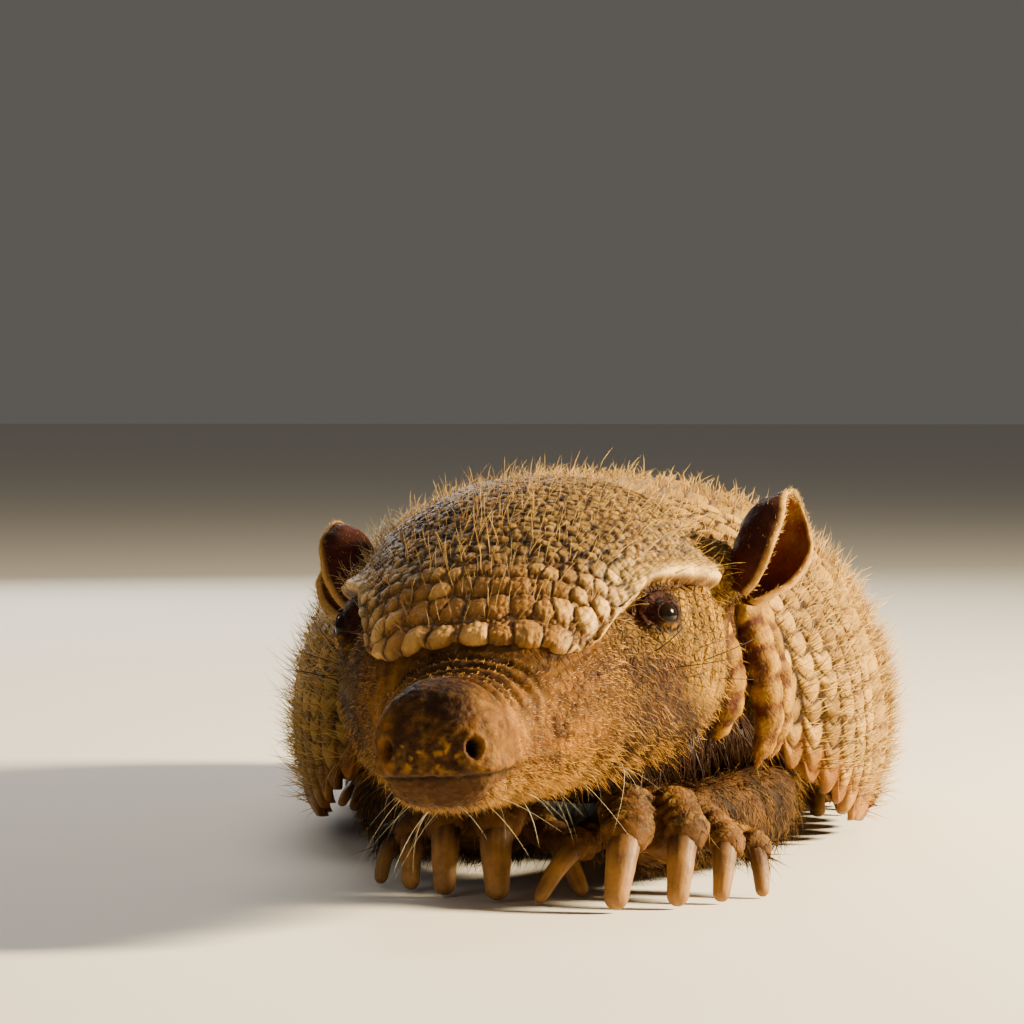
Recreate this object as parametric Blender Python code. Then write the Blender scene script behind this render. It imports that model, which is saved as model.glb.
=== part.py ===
"""A large hairy armadillo at life size, lying on its belly with its forefeet under its chin.

The animal faces -Y and its left side is +X. The origin is on the floor, under the middle of
the belly. Lengths in the tables below are millimetres; MM turns them into Blender's metres.
The shell, the head and the tail are lofts through a few stations. The shell stands apart
from the flesh: a head shield, a neck band, a shoulder shield, seven bands and a rump shield.
Neighbouring solids keep a gap, so that nothing overlaps.
"""

import math

import bmesh
import bpy
import numpy as np
from mathutils import Matrix, Vector

MM = 0.001

# ---- driving sizes, in millimetres -------------------------------------------------------
GAP = 0.35                 # clearance between neighbouring solids
SHELL_THICK = 2.6          # bone and horn together
SHIELD_THICK = 2.2         # head shield
BAND_COUNT = 7             # bands between the shoulder and rump shields
BAND_LIFT = 1.3            # how far a band's rear edge stands over the next one
ROUNDNESS = 2.15           # exponent of the body's section: 2 is an ellipse

# The shell along the body: share of its length, y of the widest point, forward (-) or
# backward (+) tilt of the hoop in degrees, half width, hoop height over the widest point,
# height of the widest point, and how far round the hoop its lower edge lies in degrees.
SHELL_STATIONS = (
    (0.00, -63.0, -25.0, 39.0, 46.0, 24.0, 97.0),
    (0.13, -51.0, -17.0, 50.0, 47.5, 23.0, 108.0),
    (0.28, -31.0, -7.0, 57.0, 48.2, 22.5, 118.0),
    (0.45, 0.0, 0.0, 60.0, 49.0, 22.0, 121.0),
    (0.60, 28.0, 4.0, 60.0, 48.8, 22.0, 116.0),
    (0.72, 50.0, 13.0, 58.5, 47.5, 22.0, 107.0),
    (0.84, 69.0, 28.0, 53.0, 45.0, 22.0, 103.0),
    (0.93, 84.0, 48.0, 43.0, 38.0, 22.0, 98.0),
    (1.00, 93.0, 70.0, 27.0, 26.0, 21.0, 94.0),
)
SKIRT_DROP = 24.0          # the shell hangs this far under its widest point at 130 degrees
SKIRT_TUCK = 0.12          # and is this share narrower there
SHOULDER_END = 0.27        # share of the shell's length where the shoulder shield ends
BANDS_END = 0.75           # and where the rump shield begins
SHELL_STEP = 0.0022        # share of the length left open between two plates
TUFT_LENGTH = 8.4          # the tallest tufts of bristles, which give the outline of the back
TUFT_RADIUS = 1.4
TUFT_LEAN = math.radians(30.0)  # backwards from straight out of the shell
TUFT_TURNS = (-60.0, -20.0, 20.0, 60.0)  # where they stand round a plate, in degrees

NECK_SIDES = 24
NECK_BAND_REACH = 112.0    # how far round the neck its band lies

# The head along its axis: distance ahead of the nape, half width, crown height, jaw height
# and the height where it is widest, all heights over the floor.
HEAD_STATIONS = (
    (0.0, 30.0, 69.0, 23.0, 43.0),
    (8.0, 33.5, 73.0, 22.6, 43.0),
    (20.0, 34.5, 73.5, 22.4, 42.0),
    (32.0, 33.2, 70.5, 22.2, 41.0),
    (42.0, 30.6, 65.5, 21.7, 40.0),
    (52.0, 26.4, 59.0, 20.9, 38.5),
    (62.0, 20.4, 50.6, 20.1, 36.0),
    (70.0, 15.2, 45.0, 19.9, 33.0),
    (78.0, 11.8, 42.6, 20.1, 31.5),
    (86.0, 10.4, 41.6, 20.8, 31.5),
    (90.5, 9.2, 40.0, 22.0, 31.5),
    (92.8, 6.6, 37.2, 25.2, 31.5),
)
HEAD_ROUNDNESS, JAW_ROUNDNESS = 2.2, 2.9      # of the crown and of the boxier jaw
NAPE = Vector((-1.0, -89.5, 0.0))
HEAD_YAW = math.radians(10.5)      # turned to the animal's right
HEAD_ROLL = math.radians(3.0)      # left side up
HEAD_MIDDLE = 45.0                 # height that the roll turns about

# The head shield: how far round the head its border lies, from its rear edge forward.
SHIELD_REACH = (
    (2.5, 64.0),
    (20.0, 65.0),
    (34.0, 58.0),
    (42.0, 52.0),
    (52.0, 55.0),
    (62.0, 61.0),
    (67.0, 62.0),
)
SHIELD_FRONT = 66.5
SHIELD_FRONT_BOW = 4.0             # how far the front edge's corners lie behind its middle

EYE_AHEAD, EYE_OUT, EYE_HEIGHT, EYE_RADIUS = 42.0, 27.2, 49.8, 4.0
EAR_ROOT, EAR_TIP = (15.0, 32.0, 49.0), (5.0, 42.5, 66.0)
EAR_OPENS = (0.64, 0.77, 0.0)       # ahead, outward, up
EAR_RADIUS, EAR_THICK = 7.2, 1.5
MOUTH_HEIGHT, MOUTH_BACK, NOSE_BACK = 26.6, 60.0, 87.0

# A forefoot in its own frame: it points along -Y from the wrist at the origin, thumb at -X.
# Each toe: knuckle, claw root, claw tip on the floor, claw width.
FORE_TOES = (
    ((-9.0, -9.0, 12.0), (-14.0, -15.0, 9.5), (-20.0, -22.0), 4.6),
    ((-5.0, -15.0, 16.5), (-4.5, -23.5, 12.5), (-6.2, -31.5), 6.2),
    ((3.0, -12.5, 16.0), (5.5, -18.5, 12.0), (4.2, -25.5), 5.6),
    ((9.0, -7.0, 13.0), (13.0, -11.5, 9.8), (11.6, -18.0), 4.6),
    ((13.0, 0.0, 10.0), (18.5, -3.0, 8.0), (18.8, -9.5), 3.6),
)
FORE_TOE_RADII = (3.6, 4.9, 4.7, 4.0, 3.3)
FORE_HEART = (-0.5, -5.0, 11.0)    # the palm's middle, that the toes spread from
# A hind foot lies flat on its sole, pointing along -Y from the heel at the origin.
HIND_TOES = (
    ((-7.5, -34.0, 6.0), (-9.0, -42.0, 4.6), (-10.0, -50.0), 3.4),
    ((-3.5, -37.0, 6.6), (-4.0, -46.0, 5.0), (-4.6, -55.5), 4.2),
    ((1.0, -37.5, 6.8), (1.4, -47.0, 5.2), (1.4, -57.0), 4.6),
    ((5.2, -35.0, 6.4), (6.6, -43.5, 4.8), (7.2, -52.5), 4.0),
    ((8.6, -29.0, 5.6), (11.0, -36.0, 4.2), (12.2, -43.5), 3.2),
)
HIND_TOE_RADII = (3.3, 3.7, 3.8, 3.6, 3.1)
HIND_HEART = (0.3, -20.0, 5.5)
CLAW_TAPER = 0.62          # tip width over root width

# Where each foot stands: wrist or heel (x, y), heading in degrees from -Y towards the outside.
LEFT_WRIST, LEFT_HEADING = (17.0, -108.5), 0.0
RIGHT_WRIST, RIGHT_HEADING = (-13.7, -96.1), 5.0
FORE_ELBOW, FORE_SHOULDER = (34.0, -60.0, 10.5), (26.0, -40.0, 19.0)
HIND_HEEL, HIND_HEADING, HIND_HIP = (38.0, 72.0), 7.0, (31.0, 44.0, 30.0)
HIND_POCKET = ((-11.5, -62.0, -5.0), (40.0, 11.5, 16.8))     # kept free of belly, in the foot's frame

# The tail lies on the floor: y of each length's ends, radius, and sideways bend at its tip.
TAIL_ROOT, TAIL_TIP = 104.0, 232.0
TAIL_RADII = (12.5, 4.6)
TAIL_BEND = 26.0
TAIL_NAMES = ("tail_base", "tail_middle", "tail_end")

# name: colour, roughness, metallic
FINISHES = {
    "scute": ((0.52, 0.36, 0.20), 0.55, 0.0),
    "skin": ((0.38, 0.22, 0.13), 0.70, 0.0),
    "claw": ((0.50, 0.34, 0.19), 0.40, 0.0),
    "nose": ((0.16, 0.09, 0.06), 0.50, 0.0),
    "eye": ((0.02, 0.015, 0.012), 0.10, 0.0),
}


# ---- shapes in numbers -------------------------------------------------------------------
def smooth_through(stations, column, at):
    """Value of one column of a station table at places `at`: a Hermite curve through it."""
    table = np.asarray(stations, float)
    knots, values = table[:, 0], table[:, column]
    slopes = np.gradient(values, knots)
    i = np.clip(np.searchsorted(knots, at) - 1, 0, len(knots) - 2)
    span = knots[i + 1] - knots[i]
    u = (np.asarray(at, float) - knots[i]) / span
    return (
        (2 * u**3 - 3 * u**2 + 1) * values[i]
        + (u**3 - 2 * u**2 + u) * span * slopes[i]
        + (3 * u**2 - 2 * u**3) * values[i + 1]
        + (u**3 - u**2) * span * slopes[i + 1]
    )


def hoop(angle, roundness):
    """Sideways and upward share of a rounded hoop at an angle from its top."""
    sine, cosine = np.sin(angle), np.cos(angle)
    reach = (np.abs(sine) ** roundness + np.abs(cosine) ** roundness) ** (-1 / roundness)
    return sine * reach, cosine * reach


def shell_hoop(share, side, rise, inward):
    """A point of the tilted hoop at a share of the shell's length."""
    y, tilt, wide, tall, level = (smooth_through(SHELL_STATIONS, c, share) for c in range(1, 6))
    rise = (tall - inward) * rise if rise > 0 else rise
    lean = math.radians(tilt)
    return Vector(((wide - inward) * side, y + rise * math.sin(lean), level + rise * math.cos(lean)))


def shell_point(share, angle, inward=0.0):
    """A point of the shell: an arch down to 90 degrees from its ridge, then a hanging skirt."""
    side, up = hoop(angle, ROUNDNESS)
    if abs(angle) > math.pi / 2:
        hang = (abs(math.degrees(angle)) - 90) / 40
        side, up = math.copysign(1 - SKIRT_TUCK * hang**2, angle), -SKIRT_DROP * hang
    return shell_hoop(share, side, up, inward)


def flesh_point(share, angle, inward, drop):
    """A point of the flesh under the shell: an arch above, and a belly that hangs by drop."""
    side, up = hoop(angle, ROUNDNESS)
    return shell_hoop(share, side, up if up > 0 else up * drop, inward)


def head_frame(ahead, out, height):
    """Turns a place on the head into the part's frame: ahead of the nape, to the left, up."""
    low = height - HEAD_MIDDLE
    out, height = (
        out * math.cos(HEAD_ROLL) - low * math.sin(HEAD_ROLL),
        out * math.sin(HEAD_ROLL) + low * math.cos(HEAD_ROLL) + HEAD_MIDDLE,
    )
    forward = Vector((-math.sin(HEAD_YAW), -math.cos(HEAD_YAW), 0))
    left = Vector((math.cos(HEAD_YAW), -math.sin(HEAD_YAW), 0))
    return NAPE + forward * ahead + left * out + Vector((0, 0, height))


def head_point(ahead, angle, inward=0.0):
    """A point of the head's surface, at an angle from the crown, positive to the left."""
    wide, crown, jaw, level = (smooth_through(HEAD_STATIONS, c, ahead) for c in range(1, 5))
    side, up = hoop(angle, HEAD_ROUNDNESS if abs(angle) < math.pi / 2 else JAW_ROUNDNESS)
    rise = np.where(up > 0, (crown - level - inward) * up, (level - jaw - inward) * up)
    return head_frame(ahead, (wide - inward) * side, level + rise)


# ---- building blocks ---------------------------------------------------------------------
def finish_of(name):
    material = bpy.data.materials.get(name)
    if material is None:
        colour, roughness, metallic = FINISHES[name]
        material = bpy.data.materials.new(name)
        material.use_nodes = True
        shader = material.node_tree.nodes["Principled BSDF"]
        shader.inputs["Base Color"].default_value = (*colour, 1.0)
        shader.inputs["Roughness"].default_value = roughness
        shader.inputs["Metallic"].default_value = metallic
    return material


def new_object(name, bm, finish, smooth=True):
    """Makes an object of a bmesh whose points are in millimetres."""
    bmesh.ops.recalc_face_normals(bm, faces=bm.faces)
    bmesh.ops.scale(bm, vec=(MM, MM, MM), verts=bm.verts)
    mesh = bpy.data.meshes.new(name)
    bm.to_mesh(mesh)
    bm.free()
    if smooth:
        mesh.shade_smooth()
    obj = bpy.data.objects.new(name, mesh)
    bpy.context.scene.collection.objects.link(obj)
    mesh.materials.append(finish_of(finish))
    return obj


def loft(name, rings, finish, tip=None):
    """A closed body through rings of equally many points, its ends capped or drawn to a tip."""
    bm = bmesh.new()
    made = [[bm.verts.new(p) for p in ring] for ring in rings]
    for one, two in zip(made, made[1:]):
        for i in range(len(one)):
            j = (i + 1) % len(one)
            bm.faces.new((one[i], one[j], two[j], two[i]))
    bm.faces.new(made[0])
    if tip is None:
        bm.faces.new(made[-1])
    else:
        end = bm.verts.new(tip)
        for i in range(len(made[-1])):
            bm.faces.new((made[-1][i], made[-1][(i + 1) % len(made[-1])], end))
    return new_object(name, bm, finish)


def plate(name, outer, inner, finish):
    """A closed plate between two grids of points, each a list of rows."""
    bm = bmesh.new()
    sides = [[[bm.verts.new(p) for p in row] for row in grid] for grid in (outer, inner)]
    rows, columns = len(outer), len(outer[0])
    for grid in sides:
        for r in range(rows - 1):
            for c in range(columns - 1):
                bm.faces.new((grid[r][c], grid[r][c + 1], grid[r + 1][c + 1], grid[r + 1][c]))
    border = [(0, c) for c in range(columns)] + [(r, columns - 1) for r in range(1, rows)]
    border += [(rows - 1, c) for c in range(columns - 2, -1, -1)]
    border += [(r, 0) for r in range(rows - 2, 0, -1)]
    top, under = sides
    for (r, c), (s, d) in zip(border, border[1:] + border[:1]):
        bm.faces.new((top[r][c], top[s][d], under[s][d], under[r][c]))
    return new_object(name, bm, finish)


def cutter(obj):
    obj.hide_render = True
    obj.display_type = "WIRE"
    return obj


def combine(obj, other, operation):
    """Adds a Boolean with another object, which is a helper and isn't a node."""
    modifier = obj.modifiers.new(operation.title(), "BOOLEAN")
    modifier.operation = operation
    modifier.solver = "EXACT"
    modifier.object = cutter(other)
    return obj


def box_between(name, low, high, matrix):
    """A helper box between two corners, in millimetres of the frame that matrix gives."""
    bm = bmesh.new()
    bmesh.ops.create_cube(bm, size=1.0)
    size = [b - a for a, b in zip(low, high)]
    middle = [(a + b) / 2 for a, b in zip(low, high)]
    placed = matrix @ Matrix.Translation(middle) @ Matrix.Diagonal((*size, 1))
    bmesh.ops.transform(bm, matrix=placed, verts=bm.verts)
    return new_object(name, bm, "skin", smooth=False)


def ring_about(centre, direction, radius, flat=1.0, sides=8, up=Vector((0, 0, 1))):
    """Points round a centre, square to a direction; flat is the ring's height over its width."""
    forward = direction.normalized()
    across = forward.cross(up).normalized()
    over = across.cross(forward)
    turns = [2 * math.pi * i / sides for i in range(sides)]
    return [centre + across * math.cos(a) * radius + over * math.sin(a) * radius * flat for a in turns]


def limb(name, path, radii, finish="skin", sides=10, margin=0.0, floor=0.0):
    """A tapered round limb along a path of points, no lower than the floor."""
    rings = []
    for i, (centre, radius) in enumerate(zip(path, radii)):
        direction = path[min(i + 1, len(path) - 1)] - path[max(i - 1, 0)]
        ring = ring_about(centre, direction, radius + margin, sides=sides)
        rings.append([Vector((p.x, p.y, max(p.z, floor - margin))) for p in ring])
    return loft(name, rings, finish)


def bezier(a, b, c, t):
    return a * (1 - t) ** 2 + b * 2 * t * (1 - t) + c * t**2


# ---- shell -------------------------------------------------------------------------------
def shell_plate(name, start, end, rows, columns, lift_start, lift_end):
    """A plate of the shell between two shares of its length, its rear edge lifted."""
    shares = np.linspace(start, end, rows)
    grids = []
    for thickness in (0.0, SHELL_THICK):
        grid = []
        for share in shares:
            lift = lift_start + (lift_end - lift_start) * (share - start) / (end - start)
            reach = math.radians(smooth_through(SHELL_STATIONS, 6, share))
            inward = thickness - (lift if thickness == 0 else 0)
            grid.append([shell_point(share, a, inward) for a in np.linspace(-reach, reach, columns)])
        grids.append(grid)
    return plate(name, *grids, "scute")


def add_tufts(obj, share, turns):
    """Joins a row of leaning three-sided tufts of bristles to a plate."""
    bm = bmesh.new()
    for turn in turns:
        angle = math.radians(turn)
        root = shell_point(share, angle)
        out = (root - shell_point(share, angle, 1.0)).normalized()
        back = (shell_point(share + 0.01, angle) - root).normalized()
        across = out.cross(back).normalized()
        tip = root + (out * math.cos(TUFT_LEAN) + back * math.sin(TUFT_LEAN)) * TUFT_LENGTH
        foot = []
        for side in (0, 1, 2):
            a = 2 * math.pi * side / 3
            foot.append(root - out + (across * math.cos(a) + back * math.sin(a)) * TUFT_RADIUS)
        corners = [bm.verts.new(p) for p in (*foot, tip)]
        for face in ((2, 1, 0), (0, 1, 3), (1, 2, 3), (2, 0, 3)):
            bm.faces.new([corners[i] for i in face])
    combine(obj, new_object(f"{obj.name}_tufts", bm, "scute", smooth=False), "UNION")


def build_shell():
    shield = shell_plate("shoulder_shield", 0.0, SHOULDER_END, 6, 21, -0.4, 0.9)
    add_tufts(shield, SHOULDER_END * 0.8, TUFT_TURNS)
    edges = np.linspace(SHOULDER_END, BANDS_END, BAND_COUNT + 1)
    for i, (start, end) in enumerate(zip(edges, edges[1:]), 1):
        band = shell_plate(f"band_{i}", start + SHELL_STEP, end, 2, 21, -BAND_LIFT / 2, BAND_LIFT / 2)
        # every other row of tufts stands between those before it
        turns = TUFT_TURNS if i % 2 == 0 else [(a + b) / 2 for a, b in zip(TUFT_TURNS, TUFT_TURNS[1:])]
        add_tufts(band, start + 0.6 * (end - start), turns)
    shell_plate("rump_shield", BANDS_END + SHELL_STEP, 1.0, 7, 21, -BAND_LIFT / 2, 0.0)


def neck_rings(margin=0.0):
    """Rings from the shell's front to the back of the head; margin widens them."""
    behind, ahead = [], []
    for angle in np.linspace(-math.pi, math.pi, NECK_SIDES, endpoint=False):
        point = flesh_point(0.0, angle, SHELL_THICK + GAP + 1.2 - margin, 19.0 + margin)
        behind.append(point - Vector((0, GAP, 0)))
        ahead.append(head_point(0.0, angle, 2.0 - margin) + Vector((0, GAP, 0)))
    middle = [(a + b) / 2 for a, b in zip(behind, ahead)]
    return behind, middle, ahead


def build_neck():
    neck = loft("neck", neck_rings(), "skin")
    # The neck band lies over the neck, between the ears and the shoulder shield.
    grids = []
    for rise in (1.6, GAP):
        _behind, middle, ahead = neck_rings(margin=rise)
        turns = np.degrees(np.linspace(-math.pi, math.pi, NECK_SIDES, endpoint=False))
        pick = [i for i, angle in enumerate(turns) if abs(angle) < NECK_BAND_REACH]
        grids.append([[middle[i].lerp(ahead[i], k) for i in pick] for k in (0.1, 0.8)])
    plate("neck_band", *grids, "scute")
    return neck


# ---- trunk and tail ----------------------------------------------------------------------
def build_trunk():
    """The flesh under the shell, with a flat belly on the floor and an end for the tail."""
    rings = []
    shares = (0.0, 0.12, 0.28, 0.45, 0.62, 0.752, 0.835, 0.917, 0.959, 1.0)
    for share in shares:
        ring = []
        level = smooth_through(SHELL_STATIONS, 5, share)
        for angle in np.linspace(-math.pi, math.pi, 24, endpoint=False):
            point = flesh_point(share, angle, SHELL_THICK + 2 * GAP + BAND_LIFT / 2, level + 9.0)
            ring.append(Vector((point.x, point.y, max(point.z, 0.0))))
        rings.append(ring)
    end = Vector((0, TAIL_ROOT - GAP, TAIL_RADII[0] + 1.5))
    turns = np.linspace(-math.pi, math.pi, 24, endpoint=False)
    last = [
        end + Vector((math.sin(a) * TAIL_RADII[0], 0, math.cos(a) * TAIL_RADII[0])) for a in turns
    ]
    rings.append(last)
    return loft("trunk", rings, "skin")


def tail_place(share):
    """Centre and radius of the tail at a share of its length."""
    radius = TAIL_RADII[0] + (TAIL_RADII[1] - TAIL_RADII[0]) * share**0.85
    sag = 1.5 * (1 - share) ** 2 - 0.5
    return Vector((TAIL_BEND * share**2, TAIL_ROOT + (TAIL_TIP - TAIL_ROOT) * share, radius + sag)), radius


def build_tail():
    cuts = np.linspace(0, 1, len(TAIL_NAMES) + 1)
    cuts[-1] -= 0.03
    for name, start, end in zip(TAIL_NAMES, cuts, cuts[1:]):
        rings = []
        for share in np.linspace(start + (0.003 if start else 0.0), end, 5):
            centre, radius = tail_place(share)
            direction = Vector((0, 1, 0))
            if share > 0:
                direction = tail_place(share + 0.01)[0] - tail_place(share - 0.01)[0]
            ring = ring_about(centre, direction, radius, sides=12)
            rings.append([Vector((p.x, p.y, max(p.z, 0.0))) for p in ring])
        tip = None
        if name == TAIL_NAMES[-1]:
            tip = tail_place(1.0)[0]
        loft(name, rings, "skin", tip)


# ---- head --------------------------------------------------------------------------------
def head_flesh(name, inward=0.0, first=GAP):
    turns = np.linspace(-math.pi, math.pi, 22, endpoint=False)
    places = [first] + [row[0] for row in HEAD_STATIONS[1:]]
    rings = [[head_point(place, a, inward) for a in turns] for place in places]
    end = head_frame(HEAD_STATIONS[-1][0] + 0.7, 0.0, HEAD_STATIONS[-1][4])
    return loft(name, rings, "skin", tip=end)


def shield_grid(rise, margin):
    """Rows of the head shield, raised by rise and widened by margin all round."""
    rows = []
    for k in np.linspace(0, 1, 9):
        row = []
        for side in np.linspace(-1, 1, 13):
            front = SHIELD_FRONT - SHIELD_FRONT_BOW * side**2 + margin
            back = SHIELD_REACH[0][0] - margin
            ahead = back + (front - back) * k
            wide = smooth_through(HEAD_STATIONS, 1, ahead)
            reach = smooth_through(SHIELD_REACH, 1, min(max(ahead, 2.5), 67.0))
            angle = math.radians(reach) * side + side * margin / wide
            row.append(head_point(ahead, angle, -rise))
        rows.append(row)
    return rows


def build_head():
    head = head_flesh("head")
    shield = plate("head_shield", shield_grid(0.5, 0.0), shield_grid(0.5 - SHIELD_THICK, 0.0), "scute")
    seat = plate("seat_of_shield", shield_grid(3.0, GAP), shield_grid(0.5 - SHIELD_THICK - GAP, GAP), "skin")
    combine(head, seat, "DIFFERENCE")
    turned = Matrix.Translation(NAPE * 1.0) @ Matrix.Rotation(-HEAD_YAW, 4, "Z")

    def head_box(name, back, low, high):
        return box_between(name, (-60, -130, low), (60, -back, high), turned)

    for name, side in (("eye_left", 1), ("eye_right", -1)):
        centre = head_frame(EYE_AHEAD, side * EYE_OUT, EYE_HEIGHT)
        for which, radius in ((name, EYE_RADIUS), (f"socket_{name}", EYE_RADIUS + GAP)):
            bm = bmesh.new()
            bmesh.ops.create_uvsphere(bm, u_segments=10, v_segments=6, radius=radius)
            bmesh.ops.translate(bm, vec=centre, verts=bm.verts)
            ball = new_object(which, bm, "eye")
        combine(head, ball, "DIFFERENCE")
    for name, back, low, high, finish in (
        ("nose", NOSE_BACK, MOUTH_HEIGHT, 60.0, "nose"),
        ("lower_jaw", MOUTH_BACK, -10.0, MOUTH_HEIGHT - GAP, "skin"),
    ):
        piece = head_flesh(name)
        piece.data.materials[0] = finish_of(finish)
        combine(piece, head_box(f"part_{name}", back, low, high), "INTERSECT")
    combine(head, head_box("nose_cut", NOSE_BACK - GAP, MOUTH_HEIGHT - GAP, 61.0), "DIFFERENCE")
    combine(head, head_box("jaw_cut", MOUTH_BACK - GAP, -11.0, MOUTH_HEIGHT), "DIFFERENCE")
    return shield


def ear_rows(side, inward):
    """Rows of one ear: a trough that opens outward and forward, rolled at its root."""
    root = Vector((EAR_ROOT[0], EAR_ROOT[1] * side, EAR_ROOT[2]))
    tip = Vector((EAR_TIP[0], EAR_TIP[1] * side, EAR_TIP[2]))
    axis = (tip - root).normalized()
    opening = Vector((EAR_OPENS[0], EAR_OPENS[1] * side, EAR_OPENS[2]))
    opening = (opening - axis * opening.dot(axis)).normalized()
    across = axis.cross(opening) * side
    rows = []
    for share in (-0.2, 0.0, 0.2, 0.4, 0.6, 0.76, 0.88, 0.96, 1.0):
        swell = 0.55 + 0.45 * math.sin(math.pi * min(max(share, 0.0) * 0.75 + 0.08, 1.0))
        close = math.sqrt(1 - max(share - 0.56, 0) ** 2 / 0.202)
        half = math.radians(150 - 50 * min(max(share, 0.0) * 1.5, 1.0)) * close
        centre = root.lerp(tip, share) + opening * EAR_RADIUS * 0.3
        row = []
        for turn in np.linspace(-half, half, 9):
            radius = EAR_RADIUS * swell - inward
            place = centre - opening * math.cos(turn) * radius + across * math.sin(turn) * radius
            row.append(head_frame(*place))
        rows.append(row)
    return rows


def build_ears(shield):
    for name, side in (("ear_left", 1), ("ear_right", -1)):
        ear = plate(name, ear_rows(side, 0.0), ear_rows(side, EAR_THICK), "skin")
        combine(ear, head_flesh(f"side_for_{name}", -GAP), "DIFFERENCE")
        path = [head_frame(a, o * side, h) for a, o, h in ((18.0, 28.0, 45.0), (6.0, 42.5, 64.0))]
        combine(shield, limb(f"notch_for_{name}", path, (6.6, 8.6)), "DIFFERENCE")


# ---- legs --------------------------------------------------------------------------------
def foot_matrix(place, heading, side):
    """Frame of a foot: side is 1 for the left and -1 for the right, heading is outward."""
    return (
        Matrix.Translation((place[0], place[1], 0))
        @ Matrix.Rotation(math.radians(heading * side), 4, "Z")
        @ Matrix.Diagonal((side, 1, 1, 1))
    )


def build_claws(prefix, toes, matrix, sides):
    """One claw for each toe, bent down to a small flat on the floor."""
    for number, (knuckle, root, tip, width) in enumerate(toes, 1):
        knuckle, root, tip = Vector(knuckle), Vector(root), Vector((*tip, 0.0))
        start = root + (root - knuckle).normalized() * GAP
        bend = root + (tip - root) * 0.45 + Vector((0, (tip - root).y * 0.18, width * 0.35))
        rings = []
        for t in np.linspace(0, 1, 5):
            centre = bezier(start, bend, tip, t)
            ahead = bezier(start, bend, tip, t + 0.05) - bezier(start, bend, tip, t - 0.05)
            ahead = root - knuckle if t == 0 else ahead
            radius = width / 2 * (1 + (CLAW_TAPER - 1) * t**1.4)
            ring = [matrix @ p for p in ring_about(centre, ahead, radius, flat=0.85, sides=sides)]
            rings.append([Vector((p.x, p.y, max(p.z, 0.0))) for p in ring])
        loft(f"{prefix}_claw_{number}", rings, "claw")


def build_foot(name, palm_rings, heart, toes, radii, matrix, sides):
    """A foot: the palm with its toes joined on, no lower than the floor."""
    def on_floor(ring):
        return [Vector((p.x, p.y, max(p.z, 0.0))) for p in (matrix @ q for q in ring)]

    foot = loft(name, [on_floor(ring) for ring in palm_rings], "skin")
    for number, ((knuckle, root, _tip, _width), radius) in enumerate(zip(toes, radii), 1):
        knuckle, root = Vector(knuckle), Vector(root)
        back = knuckle.lerp(Vector(heart), 0.5)
        path = (back, knuckle, knuckle.lerp(root, 0.6) + Vector((0, 0, radius * 0.1)), root)
        sizes = (radius * 0.9, radius, radius * 0.95, radius * 0.72)
        rings = []
        for i, (centre, size) in enumerate(zip(path, sizes)):
            direction = root - knuckle if i == 3 else path[i + 1] - path[max(i - 1, 0)]
            rings.append(on_floor(ring_about(centre, direction, size, sides=sides)))
        toe = loft(f"{name}_toe_{number}", rings, "skin")
        combine(foot, toe, "UNION")
    return foot


def fore_palm():
    """Rings of a forefoot's palm from the wrist forward, in the foot's own frame."""
    places = (
        (0.0, 2.0, 11.5, 7.2, 0.95),
        (-0.5, -4.0, 12.0, 9.5, 0.78),
        (-1.0, -10.0, 12.3, 10.0, 0.62),
        (-1.5, -15.0, 12.5, 7.0, 0.5),
    )
    return [ring_about(Vector((x, y, z)), Vector((0, -1, 0)), r, f, 10) for x, y, z, r, f in places]


def hind_palm():
    """Rings of a hind foot's sole from the heel forward."""
    places = (
        (0.0, 3.0, 7.5, 4.0, 0.9),
        (0.0, 0.0, 8.0, 6.8, 1.1),
        (0.0, -10.0, 8.0, 7.4, 1.1),
        (0.3, -24.0, 6.4, 9.2, 0.8),
        (0.6, -36.0, 5.2, 8.4, 0.7),
    )
    return [ring_about(Vector((x, y, z)), Vector((0, -1, 0)), r, f, 10) for x, y, z, r, f in places]


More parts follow.
